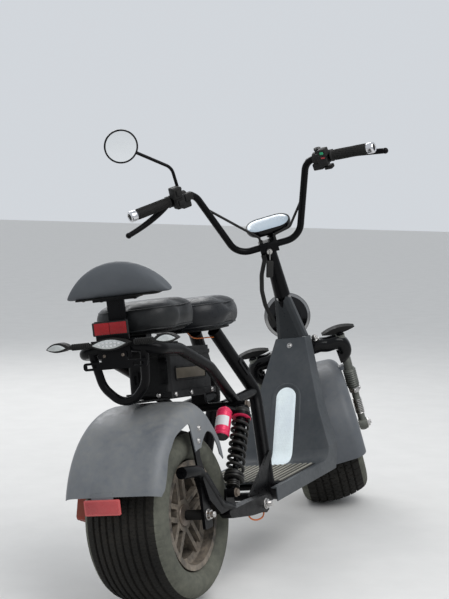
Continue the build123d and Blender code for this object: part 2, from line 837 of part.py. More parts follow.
def make_fork_legs():
    legs = []
    for side in (1, -1):
        q, y = leg_q, side * leg_y
        pieces = [
            rod((q, y, 172), (q, y, leg_top), leg_radius),
            rod((q, y, 146), (q, y, 214), boot_radius),
            rod((q, y, -20), (q, y, 150), slider_radius),
            rod((fork_offset, y - 14, 0), (fork_offset, y + 14, 0), 19),
        ]
        leg = joined(pieces) - rod((fork_offset, y - 30, 0), (fork_offset, y + 30, 0), front_axle_radius)
        legs.append(leg)
    return legs


def make_front_axle():
    pieces = [rod((fork_offset, -front_axle_half, 0), (fork_offset, front_axle_half, 0), front_axle_radius)]
    for side in (-1, 1):
        inner = side * (hub_half_width + spacer_gap)
        outer = side * (leg_y - 14)
        pieces.append(rod((fork_offset, inner, 0), (fork_offset, outer, 0), spacer_radius))
    return joined(pieces)


def make_front_caliper():
    arm = block((-24, 100, 84), (24, 130, 112))
    hanger = block((-60, 127, 22), (36, leg_y - slider_radius - seat_gap, 46))
    return joined([Pos(fork_offset, 0, 0) * Rot(Y=-70) * joined([caliper_body(112), arm]), hanger])


def make_front_indicators():
    return both_sides(Pos(42, 92, front_indicator_s) * leaf(112, 22, 24))


def make_headlight():
    tilt = Pos(*lamp_place) * Rot(Y=rake)
    depth = lamp_depth
    dome = [(0, 0), (8, 44), (30, 67), (depth - 14, lamp_radius), (depth, lamp_radius)]
    bore = lamp_radius - lamp_wall
    inner = [(depth, bore), (depth - 14, bore), (32, 62), (12, 40), (4, 0)]
    face = make_face(Polyline(*dome, *inner, close=True))
    shell = revolve(Plane.XZ * face, Axis.X)
    return tilt * Pos(-lamp_shift, 0, 0) * shell


def make_headlight_lens():
    tilt = Pos(*lamp_place) * Rot(Y=rake)
    lens = rod((0, 0, 0), (3, 0, 0), lamp_radius - lamp_wall - seat_gap)
    return tilt * Pos(lamp_depth - lamp_shift - 5, 0, 0) * lens


def make_handlebar():
    left = [bar_low_bend, bar_high_bend, bar_end]
    right = [at_y(point, -1) for point in reversed(left)]
    return tube(right + left, [48, 60, 60, 48], bar_radius)


bar_run = (Vector(*bar_high_bend) - Vector(*bar_end)).normalized()


def bar_point(inward, side=1):
    """A point on the bar's axis, so far in from its end."""
    point = Vector(*bar_end) + bar_run * inward
    return (point.X, side * point.Y, point.Z)


def bar_sleeve(start, end, radius, side):
    sleeve = rod(bar_point(start, side), bar_point(end, side), radius)
    return sleeve - rod(bar_point(start - 5, side), bar_point(end + 5, side), bar_radius)


def make_grips():
    return [bar_sleeve(bar_end_length, bar_end_length + grip_length, grip_radius, side) for side in (1, -1)]


def make_bar_ends():
    ends = []
    for side in (1, -1):
        cap = rod(bar_point(-6, side), bar_point(bar_end_length - seat_gap, side), grip_radius + 1)
        ends.append(cap - rod(bar_point(0, side), bar_point(40, side), bar_radius))
    return ends


def bar_forward(side):
    """Level and square to the bar, away from the rider."""
    return Vector(-bar_run.Y, side * bar_run.X, 0).normalized()


def make_levers():
    levers = []
    for side, drop, reach in ((1, 66, 8), (-1, 30, 22)):
        ahead = bar_forward(side)
        root = Vector(*bar_point(157, side)) + ahead * 34 + Vector(0, 0, -10)
        middle = Vector(*bar_point(90, side)) + ahead * 46 + Vector(0, 0, -drop * 0.7)
        tip = Vector(*bar_point(-reach, side)) + ahead * 40 + Vector(0, 0, -drop)
        blade = joined([rod(root, middle, lever_radius), rod(middle, tip, lever_radius),
                        Pos(tip) * Sphere(lever_radius + 1.5), Pos(middle) * Sphere(lever_radius)])
        perch = bar_sleeve(146, 168, 19, side)
        mount = rod(Vector(*bar_point(157, side)) + ahead * 15 + Vector(0, 0, -4), root, 9)
        levers.append(joined([blade, perch, mount]))
    return levers


def make_switch_pods():
    pods = []
    for side in (1, -1):
        sleeve = bar_sleeve(pod_start, pod_end, 20, side)
        boss = rod((boss_q, side * boss_y, 992), (boss_q, side * boss_y, boss_top), 9)
        pods.append(joined([sleeve, boss]))
    hole_foot = (boss_q, -boss_y, boss_top - mirror_hole_depth)
    mirror_hole = rod(hole_foot, (boss_q, -boss_y, boss_top + 1), mirror_hole_radius)
    pods[1] -= mirror_hole
    return pods


def make_clamp():
    body = block((-22, -30, clamp_s - clamp_below), (22, 30, clamp_s + clamp_above))
    body = fillet(body.edges().filter_by(Axis.Y), 8)
    bar = rod((-5, -60, 730), (-5, 60, 730), bar_radius)
    under = Vector(*display_place)
    square = Vector(sin(radians(display_tilt)), 0, cos(radians(display_tilt)))
    knee_point = under - square * 22
    foot = [rod(knee_point, under - square * seat_gap, 14), rod((8, display_place[1], 736), knee_point, 9)]
    return joined([body - bar] + foot)


def make_mirror():
    facing = Vector(-1, -0.12, 0.1)
    place = Plane(origin=mirror_place, z_dir=facing).location
    shell = extrude(Circle(mirror_radius), mirror_thickness)
    shell = chamfer(shell.edges().group_by(Axis.Z)[0], 6)
    recess = Pos(0, 0, mirror_thickness - 2) * extrude(Circle(mirror_radius - 3), 4)
    head = place * (shell - recess)
    path = [(boss_q, boss_y, boss_top + seat_gap), (boss_q, boss_y, 1080), (-56, 304, 1150), mirror_place]
    stem = tube(path, [40, 40], mirror_stem)
    glass = place * Pos(0, 0, mirror_thickness - 2) * extrude(Circle(mirror_radius - 3 - seat_gap), 1.6)
    return joined([head, stem - place * extrude(Circle(mirror_radius), mirror_thickness)]), glass


def make_display():
    length, width, height = display_size
    place = Pos(*display_place) * Rot(Y=display_tilt)
    body = extrude(RectangleRounded(length, width, length / 2 - 2), height)
    body = chamfer(body.edges().group_by(Axis.Z)[0], 9)
    inner_length, inner_width = length - 12, width - 12
    corner = inner_length / 2 - 2
    recess = Pos(0, 0, height - 2) * extrude(RectangleRounded(inner_length, inner_width, corner), 5)
    fit = 2 * seat_gap
    pane = RectangleRounded(inner_length - fit, inner_width - fit, corner - seat_gap)
    glass = Pos(0, 0, height - 2) * extrude(pane, 2)
    return place * (body - recess), place * glass


def make_loom():
    top = clamp_s - clamp_below - seat_gap
    path = [(-17, 25, top), (-17, 25, top - 18), (-36, 47, 652), (-38, 60, 600), (-33, 62, 547),
            (-25, 53, 488)]
    return tube(path, [18, 30, 60, 80], loom_radius)


def make_cables():
    cables = [make_loom()]
    end = clamp_s + clamp_above + seat_gap
    runs = {
        1: [(-8, 184, 972), (-2, 158, 905), (-13, 72, 819), (-14, 22, 768), (-14, 22, end)],
        -1: [(-8, -184, 972), (4, -142, 850), (-14, -81, 776), (-14, -26, 765), (-14, -26, end)],
    }
    for side, run in runs.items():
        start = Vector(*bar_point(pod_end + 0.7, side)) + bar_forward(side) * 15.5
        cables.append(tube([start] + run, [18, 14, 18, 8], cable_radius))
    return cables


rear_tyre = make_tyre()
rear_rim = make_rim(spoke_side_rear, True) - axle_bore(rear_axle_radius)
front_rim = make_rim(spoke_side_front, False) - axle_bore(front_axle_radius)
mirror_head, mirror_glass = make_mirror()
display_body, display_glass = make_display()

nodes_on_frame = {
    "main_frame": make_main_frame(),
    "rear_rack": make_rear_rack(),
    "footboard_shroud": make_shroud(),
    "floor_mats": [make_strip(), make_mat()],
    "head_cover": make_head_cover(),
    "battery_box": make_battery_box(),
    "driver_saddle": saddle(driver_saddle, driver_saddle_place, 38, 14),
    "passenger_saddle": saddle(passenger_saddle, passenger_saddle_place, 34, 14),
    "backrest_pad": make_backrest(),
    "backrest_post": make_post(),
    "reflectors": make_reflectors(),
    "tail_light": make_tail_light(),
    "rear_indicators": make_rear_indicators(),
    "plate_bracket": make_plate_bracket(),
    "swing_arm": make_swing_arm(),
    "rear_axle": make_rear_axle(),
    "rear_fender": make_rear_fender(),
    "shock_bodies": both_sides(make_shock_body()),
    "shock_springs": both_sides(make_shock_spring()),
    "shock_reservoirs": both_sides(make_reservoir()),
    "rear_caliper": make_rear_caliper(),
    "side_stand": make_side_stand(),
}

nodes_on_rear_wheel = {
    "rear_tyre": rear_tyre,
    "rear_rim": rear_rim,
    "hub_motor": make_motor(),
    "rear_disc": make_disc(disc_side),
}

nodes_on_steering = {
    "steering_stem": make_stem(),
    "fork_crown": make_crown(),
    "fork_legs": make_fork_legs(),
    "front_axle": make_front_axle(),
    "front_fender": make_front_fender(),
    "front_caliper": make_front_caliper(),
    "front_indicators": make_front_indicators(),
    "headlight_bowl": make_headlight(),
    "headlight_lens": make_headlight_lens(),
    "handlebar": make_handlebar(),
    "bar_clamp": make_clamp(),
    "grips": make_grips(),
    "bar_ends": make_bar_ends(),
    "brake_levers": make_levers(),
    "switch_pods": make_switch_pods(),
    "mirror": mirror_head,
    "mirror_glass": mirror_glass,
    "display_pod": display_body,
    "display_glass": display_glass,
    "bar_cables": make_cables(),
}

nodes_on_front_wheel = {
    "front_tyre": rear_tyre,
    "front_rim": front_rim,
    "front_disc": make_disc(disc_side),
}

placed = {}
for group, location in (
    (nodes_on_frame, parked),
    (nodes_on_rear_wheel, parked * rear_wheel_place),
    (nodes_on_steering, parked * steered),
    (nodes_on_front_wheel, parked * front_wheel_place),
):
    for name, shapes in group.items():
        shapes = shapes if isinstance(shapes, list) else [shapes]
        solids = [solid for shape in shapes for solid in shape.solids()]
        placed[name] = [location * solid for solid in solids]

box = Compound([solid for solids in placed.values() for solid in solids]).bounding_box()
centred = Pos(-box.center().X, -box.center().Y, -box.min.Z)

for name, solids in placed.items():
    export_step(Compound([centred * solid for solid in solids]), f"parts/{name}.step")
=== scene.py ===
import json
from math import atan2, copysign, cos, pi, radians, sin, sqrt, tan
import bpy
import bmesh
from mathutils import Matrix, Vector
from mathutils.bvhtree import BVHTree


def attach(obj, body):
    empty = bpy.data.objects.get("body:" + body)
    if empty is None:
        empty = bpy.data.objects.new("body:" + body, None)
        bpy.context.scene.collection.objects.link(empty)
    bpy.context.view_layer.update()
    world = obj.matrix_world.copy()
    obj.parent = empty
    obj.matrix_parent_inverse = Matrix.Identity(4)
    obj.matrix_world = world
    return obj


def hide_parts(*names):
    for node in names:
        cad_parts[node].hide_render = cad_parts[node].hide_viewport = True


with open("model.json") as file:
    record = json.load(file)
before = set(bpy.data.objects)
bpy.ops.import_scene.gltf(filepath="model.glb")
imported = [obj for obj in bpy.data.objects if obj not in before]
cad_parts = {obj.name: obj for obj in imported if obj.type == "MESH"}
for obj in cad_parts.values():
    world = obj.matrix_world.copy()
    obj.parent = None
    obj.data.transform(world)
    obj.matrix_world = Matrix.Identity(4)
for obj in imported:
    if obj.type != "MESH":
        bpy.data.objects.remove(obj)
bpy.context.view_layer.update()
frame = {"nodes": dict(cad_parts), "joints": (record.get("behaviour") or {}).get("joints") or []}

nodes = frame["nodes"]
joints = {j["name"]: j for j in frame["joints"]}

# Frames: upright is the scooter standing straight, steering follows the fork, wheels start at their
# centres. Each takes millimetres to the row frame's metres.
axle_z = 225
fork_offset = 30.5
rake = 22.4
rear_place = Vector(joints["rear_wheel"]["pos_m"])
front_place = Vector(joints["front_wheel"]["pos_m"])
rear_axis = Vector(joints["rear_wheel"]["axis"])
front_axis = Vector(joints["front_wheel"]["axis"])
steering_axis = Vector(joints["steering"]["axis"])
lean_sin = sqrt(1 - rear_axis.y**2)
pitch_sin = -rear_axis.x / lean_sin
upright_x = Vector((sqrt(1 - pitch_sin**2), 0, -pitch_sin))
upright_z = upright_x.cross(rear_axis)
steering_x = front_axis.cross(steering_axis)


def axes(x, y, z):
    """The turn that takes X, Y and Z to three directions."""
    return Matrix((x, y, z)).transposed().to_4x4()


def at(x, y, z, axis=None, turn=0):
    """A place whose Z runs along an axis."""
    move = Matrix.Translation((x, y, z))
    if axis is not None:
        z_dir = Vector(axis).normalized()
        x_dir = Vector((0, 0, 1)).cross(z_dir)
        x_dir = Vector((1, 0, 0)) if x_dir.length < 1e-4 else x_dir.normalized()
        move = move @ axes(x_dir, z_dir.cross(x_dir), z_dir)
    return move @ Matrix.Rotation(radians(turn), 4, "Z")


def tipped(degrees):
    return Matrix.Rotation(radians(degrees), 4, "Y")


def basis(x, y, z, origin):
    return at(*origin) @ axes(x, y, z) @ Matrix.Scale(0.001, 4)


rear_wheel = basis(upright_x, rear_axis, upright_z, rear_place)
upright = rear_wheel @ at(0, 0, -axle_z)
front_wheel = basis(steering_x, front_axis, steering_axis, front_place)
steering = front_wheel @ at(-fork_offset, 0, 0)


# Materials: colour and roughness wander with noise, and dust lies on what faces up

broad_scale, fine_scale = 7.0, 60.0

def material(name, colour, rough, metal=0.0, bump=(0, 0), mottle=0.2, dust=0.0, coat=0.0, spec=0.25,
    grain="noise", stretch=(1, 1, 1), dirt=(0.16, 0.14, 0.11), clear=0.0, rough_vary=0.1, dust_from=(-0.3,
    0.25)):
    m = bpy.data.materials.new(name)
    m.use_nodes = True
    tree = m.node_tree
    shader = tree.nodes["Principled BSDF"]

    def given(n, **values):
        for key, value in values.items():
            n.inputs[key.replace("_", " ")].default_value = value
        return n

    def node(kind, **values):
        return given(tree.nodes.new("ShaderNode" + kind), **values)

    def wire(value, socket):
        if isinstance(value, (int, float)):
            socket.default_value = value
        elif isinstance(value, tuple):
            socket.default_value = (*value, 1)
        else:
            tree.links.new(value, socket)

    def noise(scale, detail=6.0):
        n = node("TexNoise", Scale=scale, Detail=detail, Roughness=0.6)
        wire(mapping.outputs["Vector"], n.inputs["Vector"])
        return n.outputs["Fac"]

    def spread(source, low, high, first, last):
        r = node("MapRange", From_Min=low, From_Max=high, To_Min=first, To_Max=last)
        wire(source, r.inputs["Value"])
        return r.outputs["Result"]

    def times(a, b):
        n = node("Math")
        n.operation = "MULTIPLY"
        wire(a, n.inputs[0])
        wire(b, n.inputs[1])
        return n.outputs["Value"]

    def blended(amount, a, b):
        n = node("Mix")
        n.data_type = "RGBA"
        for key, value in (("Factor", amount), ("A", a), ("B", b)):
            wire(value, n.inputs[key])
        return n.outputs["Result"]

    given(shader, Metallic=metal, Coat_Weight=coat, Coat_Roughness=0.12, Specular_IOR_Level=spec,
        Transmission_Weight=clear)
    coords = node("TexCoord")
    mapping = node("Mapping", Scale=stretch)
    tree.links.new(coords.outputs["Object"], mapping.inputs["Vector"])
    broad, fine = noise(broad_scale), noise(fine_scale)
    dark = tuple(c * (1 - mottle) for c in colour)
    light = tuple(min(1, c * (1 + mottle)) for c in colour)
    tone = blended(spread(broad, 0.35, 0.65, 0, 1), dark, light)
    if dust:
        geometry = node("NewGeometry")
        split = node("SeparateXYZ")
        wire(geometry.outputs["Normal"], split.inputs["Vector"])
        low, least = dust_from
        facing_up = spread(split.outputs["Z"], low, 1.0, least, 1.0)
        patch = spread(times(broad, fine), 0.12, 0.42, 0.0, 1.0)
        tone = blended(times(times(facing_up, patch), dust), tone, dirt)
    wire(tone, shader.inputs["Base Color"])
    wire(spread(fine, 0.3, 0.7, max(0.03, rough - rough_vary), min(1, rough + rough_vary)),
        shader.inputs["Roughness"])
    size, depth = bump
    if depth:
        if grain == "cells":
            g = node("TexVoronoi", Scale=size)
            g.feature = "SMOOTH_F1"
            wire(mapping.outputs["Vector"], g.inputs["Vector"])
            height = g.outputs["Distance"]
        else:
            height = noise(size, 3.0)
        relief = node("Bump", Strength=0.6, Distance=depth)
        wire(height, relief.inputs["Height"])
        wire(relief.outputs["Normal"], shader.inputs["Normal"])
    return m


grey_dust = (0.15, 0.145, 0.135)
brown_dust = (0.17, 0.125, 0.08)
mats = {
    "plastic": material("moulded_plastic", (0.046, 0.052, 0.058), 0.44, bump=(500, 0.0002), dust=0.25,
        mottle=0.10, dirt=grey_dust, spec=0.2),
    # The rear fender's base colour is lifted above the front fender's as a painted sky sheen on its
    # shoulders; the lighter patches on its top are real dust.
    "fender": material("fender_plastic", (0.128, 0.138, 0.152), 0.42, bump=(420, 0.0002), dust=0.6,
        mottle=0.12, dirt=(0.23, 0.225, 0.20), spec=0.4),
    "front_fender": material("front_fender_plastic", (0.088, 0.097, 0.110), 0.44, bump=(420, 0.0002),
        dust=0.45, mottle=0.12, dirt=(0.17, 0.165, 0.15), spec=0.35),
    "neck": material("neck_plastic", (0.020, 0.023, 0.026), 0.34, bump=(500, 0.0002), dust=0.12,
        mottle=0.10, dirt=grey_dust, spec=0.25),
    "frame": material("frame_paint", (0.0025, 0.0025, 0.003), 0.32, spec=0.10, bump=(700, 0.0001),
        dust=0.025, dirt=grey_dust),
    "gloss": material("gloss_black", (0.0015, 0.0015, 0.002), 0.14, spec=0.20, bump=(500, 0.0001),
        dust=0.01, dirt=grey_dust),
    "leather": material("saddle_leather", (0.011, 0.012, 0.013), 0.40, bump=(420, 0.0004), grain="cells",
        dust=0.30, mottle=0.12, dirt=(0.050, 0.050, 0.044), dust_from=(-1.0, 0.7), spec=0.22),
    "sheen_leather": material("driver_leather", (0.011, 0.012, 0.014), 0.33, bump=(420, 0.0004),
        grain="cells", dust=0.06, mottle=0.12, dirt=grey_dust, spec=0.25),
    "matt_leather": material("backrest_leather", (0.088, 0.096, 0.106), 0.56, bump=(520, 0.0003),
        grain="cells", dust=0.15, mottle=0.08, dirt=grey_dust),
    "tyre": material("tyre_rubber", (0.012, 0.0118, 0.011), 0.75, bump=(260, 0.0006), dust=0.45, spec=0.12,
        dirt=(0.075, 0.064, 0.050)),
    "sidewall": material("tyre_side", (0.078, 0.080, 0.067), 0.8, bump=(200, 0.0006), dust=0.7, spec=0.1,
        mottle=0.12, dirt=(0.17, 0.17, 0.135), dust_from=(-1.0, 0.8)),
    "rubber": material("rubber", (0.012, 0.012, 0.012), 0.6, bump=(600, 0.0003), dust=0.1, spec=0.2),
    "rim": material("cast_rim", (0.055, 0.050, 0.045), 0.6, metal=0.15, bump=(150, 0.0006), dust=0.8,
        mottle=0.4, dirt=(0.36, 0.30, 0.235), dust_from=(-1.0, 0.85)),
    "motor": material("motor_case", (0.05, 0.046, 0.042), 0.5, metal=0.4, bump=(200, 0.0004), dust=0.7,
        dirt=brown_dust, dust_from=(-1.0, 0.7)),
    "steel": material("bright_steel", (0.50, 0.49, 0.48), 0.30, metal=1.0, bump=(300, 0.0002), dust=0.25,
        mottle=0.12, dirt=brown_dust),
    "dull_steel": material("dull_steel", (0.20, 0.17, 0.15), 0.5, metal=0.7, bump=(300, 0.0003), dust=0.7,
        mottle=0.2, dirt=brown_dust, dust_from=(-1.0, 0.6)),
    "alloy": material("alloy", (0.66, 0.66, 0.68), 0.18, metal=1.0, bump=(300, 0.0001), mottle=0.06),
    "fork": material("dusty_fork", (0.085, 0.090, 0.082), 0.42, metal=0.3, bump=(300, 0.0003), dust=0.7,
        mottle=0.25, dirt=(0.27, 0.275, 0.24), dust_from=(-1.0, 0.7)),
    "caliper": material("caliper_red", (0.22, 0.028, 0.016), 0.5, bump=(200, 0.0004), dust=0.6,
        dirt=brown_dust),
    "reservoir": material("reservoir_red", (0.80, 0.040, 0.120), 0.32, metal=0.1, coat=0.15, mottle=0.08),
    "spring": material("spring_enamel", (0.010, 0.010, 0.010), 0.35, bump=(300, 0.0002), dust=0.3),
    "label": material("blank_label", (0.72, 0.72, 0.72), 0.45, bump=(400, 0.0001), mottle=0.06, dust=0.1),
    "box": material("battery_case", (0.006, 0.006, 0.0065), 0.5, spec=0.14, bump=(350, 0.0006), dust=0.06,
        dirt=grey_dust),
    "panel": material("case_panel", (0.075, 0.062, 0.045), 0.6, bump=(250, 0.0004), dust=0.4, mottle=0.3),
    "red_lens": material("red_lens", (0.26, 0.003, 0.006), 0.25, coat=0.25, bump=(420, 0.0009),
        grain="cells", mottle=0.3),
    "red_rim": material("red_lens_rim", (0.50, 0.09, 0.09), 0.35, coat=0.3, bump=(500, 0.0002),
        mottle=0.12),
    "pale_red_lens": material("pale_red_lens", (0.42, 0.055, 0.06), 0.3, coat=0.3, bump=(420, 0.0009),
        grain="cells", mottle=0.25, dust=0.3),
    "clear_lens": material("clear_lens", (0.50, 0.52, 0.51), 0.2, metal=0.3, coat=0.8, bump=(150, 0.0022),
        grain="cells", mottle=0.45),
    "pad": material("grip_pad", (0.82, 0.90, 0.95), 0.55, bump=(330, 0.0004), grain="cells", mottle=0.10,
        dust=0.2, dirt=(0.35, 0.36, 0.35)),
    "rib": material("floor_rib", (0.26, 0.25, 0.21), 0.6, bump=(300, 0.0004), dust=0.3, mottle=0.35,
        stretch=(0.4, 6, 1)),
    # The display pane's pale blue-grey base colour is a painted sky reflection on the glass.
    "screen": material("display_screen", (0.40, 0.47, 0.53), 0.12, coat=0.8, mottle=0.06, rough_vary=0.02),
    "mirror": material("mirror_silver", (0.88, 0.91, 0.94), 0.03, metal=1.0, mottle=0.01, rough_vary=0.01),
    "lens": material("lamp_glass", (0.85, 0.87, 0.88), 0.05, clear=0.9, mottle=0.02, rough_vary=0.02,
        spec=0.5),
    "chrome": material("lamp_reflector", (0.8, 0.8, 0.8), 0.08, metal=1.0, mottle=0.03, rough_vary=0.03),
    "orange": material("orange_wire", (0.60, 0.14, 0.015), 0.45, bump=(500, 0.0002), mottle=0.1, dust=0.15),
    "green": material("green_button", (0.03, 0.30, 0.14), 0.4, bump=(500, 0.0002), mottle=0.1),
    "red": material("red_button", (0.42, 0.06, 0.07), 0.4, bump=(500, 0.0002), mottle=0.1),
}

node_material = """
frame: main_frame rear_rack backrest_post plate_bracket swing_arm side_stand steering_stem handlebar
frame: bar_clamp brake_levers mirror shock_bodies
gloss: fork_crown headlight_bowl
plastic: footboard_shroud
neck: head_cover
fender: rear_fender
front_fender: front_fender
box: battery_box
leather: passenger_saddle
sheen_leather: driver_saddle
matt_leather: backrest_pad
red_lens: reflectors
rubber: tail_light rear_indicators front_indicators grips switch_pods display_pod bar_cables
steel: front_axle rear_disc front_disc
dull_steel: rear_axle
reservoir: shock_reservoirs
spring: shock_springs
caliper: rear_caliper front_caliper
tyre: rear_tyre front_tyre
rim: rear_rim front_rim
motor: hub_motor
fork: fork_legs
lens: headlight_lens
alloy: bar_ends
mirror: mirror_glass
screen: display_glass
pad: floor_mats
"""
for row in node_material.split("\n")[1:-1]:
    key, names = row.split(":")
    for node in names.split():
        nodes[node].data.materials.clear()
        nodes[node].data.materials.append(mats[key])


# Forms: each is a list of points and a list of faces


def grid(rows, close_u=False, close_v=False, cap=False):
    """Faces between rows of points, all of one length."""
    n, m = len(rows), len(rows[0])
    verts = [p for row in rows for p in row]
    faces = []
    for i in range(n if close_u else n - 1):
        for j in range(m if close_v else m - 1):
            k, l = (i + 1) % n, (j + 1) % m
            faces.append((i * m + j, i * m + l, k * m + l, k * m + j))
    if cap:
        faces.append(tuple(range(m)))
        faces.append(tuple((n - 1) * m + j for j in range(m)))
    return verts, faces


def skin(rows):
    """A closed form between rings of points."""
    return grid(rows, close_v=True, cap=True)


def around(count):
    """The angles of equal steps round a full turn."""
    return [2 * pi * k / count for k in range(count)]


def polar(r, a, z):
    return (r * cos(a), r * sin(a), z)


def turned(profile, count=24):
    """An outline of (radius, height) turned about Z, closed at both ends."""
    rows = [[polar(max(r, 0.02), t, z) for t in around(count)] for r, z in profile]
    return skin(rows)


def taken(bm):
    form = [v.co.copy() for v in bm.verts], [tuple(v.index for v in f.verts) for f in bm.faces]
    bm.free()
    return form


def softened(bm, edges, width, segments):
    if width:
        bmesh.ops.bevel(bm, geom=edges, offset=width, segments=segments, profile=0.5, affect="EDGES")
    bm.verts.index_update()
    return taken(bm)


def block(low, high, edge=1.0, segments=2):
    bm = bmesh.new()
    size = Vector(high) - Vector(low)
    middle = (Vector(high) + Vector(low)) / 2
    bmesh.ops.create_cube(bm, size=1, matrix=Matrix.Translation(middle) @ Matrix.Diagonal((*size, 1)))
    return softened(bm, bm.edges[:], edge, segments)


def prism(points, low, high, edge=0.0, segments=2):
    """A plate with an outline in X and Y, between two heights."""
    bm = bmesh.new()
    face = bm.faces.new([bm.verts.new((x, y, low)) for x, y in points])
    top = bmesh.ops.extrude_face_region(bm, geom=[face])
    bmesh.ops.translate(bm, verts=[v for v in top["geom"] if isinstance(v, bmesh.types.BMVert)],
        vec=(0, 0, high - low))
    rims = [e for e in bm.edges if abs(e.verts[0].co.z - e.verts[1].co.z) < 1e-6]
    return softened(bm, rims, edge, segments)


def tube(points, radius, count=12, closed=False):
    """A round bar along points that lie close together."""
    points = [Vector(p) for p in points]
    n = len(points)
    rows = []
    side = None
    for i, p in enumerate(points):
        ahead = points[(i + 1) % n] if closed or i < n - 1 else p
        behind = points[i - 1] if closed or i else p
        along = (ahead - behind).normalized()
        side = along.orthogonal() if side is None else side - along * side.dot(along)
        side.normalize()
        over = along.cross(side)
        rows.append([p + side * radius * cos(t) + over * radius * sin(t) for t in around(count)])
    return grid(rows, close_u=closed, close_v=True, cap=not closed)


def rounded(points, radius, steps=4):
    """An outline with its corners turned into arcs."""
    result = []
    n = len(points)
    for i, point in enumerate(points):
        here, back, on = Vector(point), Vector(points[i - 1]), Vector(points[(i + 1) % n])
        a, b = (back - here), (on - here)
        half = a.angle(b) / 2
        reach = min(radius / tan(half), 0.49 * a.length, 0.49 * b.length)
        start, end = here + a.normalized() * reach, here + b.normalized() * reach
        for k in range(steps + 1):
            t = k / steps
            result.append(tuple(start * (1 - t)**2 + here * 2 * t * (1 - t) + end * t**2))
    return result


def merged(parts):
    """One form from pairs of a form and its place."""
    verts, faces = [], []
    for (points, polygons), place in parts:
        first = len(verts)
        verts += [place @ Vector(p) for p in points]
        faces += [tuple(i + first for i in polygon) for polygon in polygons]
    return verts, faces


def here(*forms):
    """Forms that stay where they are drawn."""
    return [(form, Matrix()) for form in forms]


def pair(parts):
    """One form of the parts and of their mirror images on the other side of the middle plane."""
    return merged(parts + [(form, Matrix.Scale(-1, 4, (0, 1, 0)) @ place) for form, place in parts])


same_spot = 2e-6


def shown(name, data):
    thing = bpy.data.objects.new(name, data)
    bpy.context.scene.collection.objects.link(thing)
    return thing


def add(name, form, place, key, body, slot, angle=40, hides=(), second=None):
    """A piece of the scene from a form in millimetres, or from a list of forms and their places."""
    if isinstance(form, list):
        form = merged(form)
    mesh = bpy.data.meshes.new(name)
    mesh.from_pydata([tuple(place @ Vector(v)) for v in form[0]], [], form[1])
    mesh.validate()
    bm = bmesh.new()
    bm.from_mesh(mesh)
    bmesh.ops.remove_doubles(bm, verts=bm.verts[:], dist=same_spot)
    bmesh.ops.recalc_face_normals(bm, faces=bm.faces[:])
    bm.to_mesh(mesh)
    bm.free()
    mesh.materials.append(mats[key])
    if second:
        other, chosen = second
        mesh.materials.append(mats[other])
        inverse = place.inverted()
        for polygon in mesh.polygons:
            polygon.material_index = int(chosen(inverse @ polygon.center))
    piece = shown(name, mesh)
    for polygon in mesh.polygons:
        polygon.use_smooth = True
    mesh.set_sharp_from_angle(angle=radians(angle))
    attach(piece, body)
    if hides:
        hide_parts(*hides)
    return piece


def fixed(name, form, key, slot, place=upright, **more):
    """A piece that rides on the frame."""
    return add(name, form, place, key, "frame", slot, **more)


def steered(name, form, key, slot, place=steering, **more):
    """A piece that turns with the fork."""
    return add(name, form, place, key, "steering", slot, **more)


def flattened(piece):
    """The piece's mesh with its modifiers applied."""
    graph = bpy.context.evaluated_depsgraph_get()
    mesh = bpy.data.meshes.new_from_object(piece.evaluated_get(graph))
    piece.modifiers.clear()
    piece.data = mesh
    return mesh


def cut_away(piece, cutters, place):
    """Takes closed forms out of a piece."""
    for form in cutters:
        mesh = bpy.data.meshes.new("cutter")
        mesh.from_pydata([tuple(place @ Vector(v)) for v in form[0]], [], form[1])
        bm = bmesh.new()
        bm.from_mesh(mesh)
        bmesh.ops.recalc_face_normals(bm, faces=bm.faces[:])
        bm.to_mesh(mesh)
        bm.free()
        tool = shown("cutter", mesh)
        cut = piece.modifiers.new("cut", "BOOLEAN")
        cut.operation = "DIFFERENCE"
        cut.solver = "EXACT"
        cut.object = tool
        bpy.context.view_layer.update()
        flattened(piece)
        bpy.data.objects.remove(tool)


# Directions, bolts and nuts

to_front, to_rear, to_left, to_right = (1, 0, 0), (-1, 0, 0), (0, 1, 0), (0, -1, 0)

dome_bolt = [(5.5, 0), (5.5, 1.4), (4.6, 3.1), (3.0, 4.0), (2.4, 4.0), (2.2, 2.4), (0, 2.4)]
flat_washer = [(8.0, 0), (8.0, 1.0), (7.6, 1.4), (0, 1.4)]


def hexagon(radius, height):
    points = [(radius * cos(pi * k / 3), radius * sin(pi * k / 3)) for k in range(6)]
    return prism(points, 0, height, edge=0.8)


def scaled(profile, size):
    return [(r * size, z * size) for r, z in profile]


def bolt(size=1.0):
    return turned(scaled(dome_bolt, size))


def washer(size=1.0):
    return turned(scaled(flat_washer, size))


# Camera, set from the rear wheel's centre

camera_place = rear_place + Vector((-3.005714, -1.500026, 0.843288))
camera_right = Vector((0.404929, -0.914234, 0.014478))
camera_up = Vector((0.071196, 0.047312, 0.99634))
camera_forward = Vector((0.911572, 0.402416, -0.084248))
frame_height = 599
focal_pixels = 1332.26
camera_data = bpy.data.cameras.new("camera")
camera_data.sensor_width = 36
camera_data.lens = focal_pixels * 36 / frame_height
camera = shown("camera", camera_data)
camera.matrix_world = at(*camera_place) @ axes(camera_right, camera_up, -camera_forward)
bpy.context.scene.camera = camera


# Tyres: the radius stays a little inside the CAD's, so that the scene keeps inside its box

tyre_radius = 224.98
crown_radius = 250
crown_half = 84
tread_depth = 5.5
side_profile = [(92, 3.5), (99, 8.5), (105, 16), (109.5, 25), (111.7, 36), (111.5, 44), (109.3, 48.6),
    (109.2, 50.6), (104, 57.5), (100, 63), (96, 66), (92.5, 67.5), (90, 69.5), (84, 71.5), (82, 77.5)]


def crown_height(y):
    return tyre_radius - crown_radius + sqrt(crown_radius**2 - y * y)


def step_down(distance, wide, slope):
    return max(0.0, min(1.0, (wide - distance) / slope))


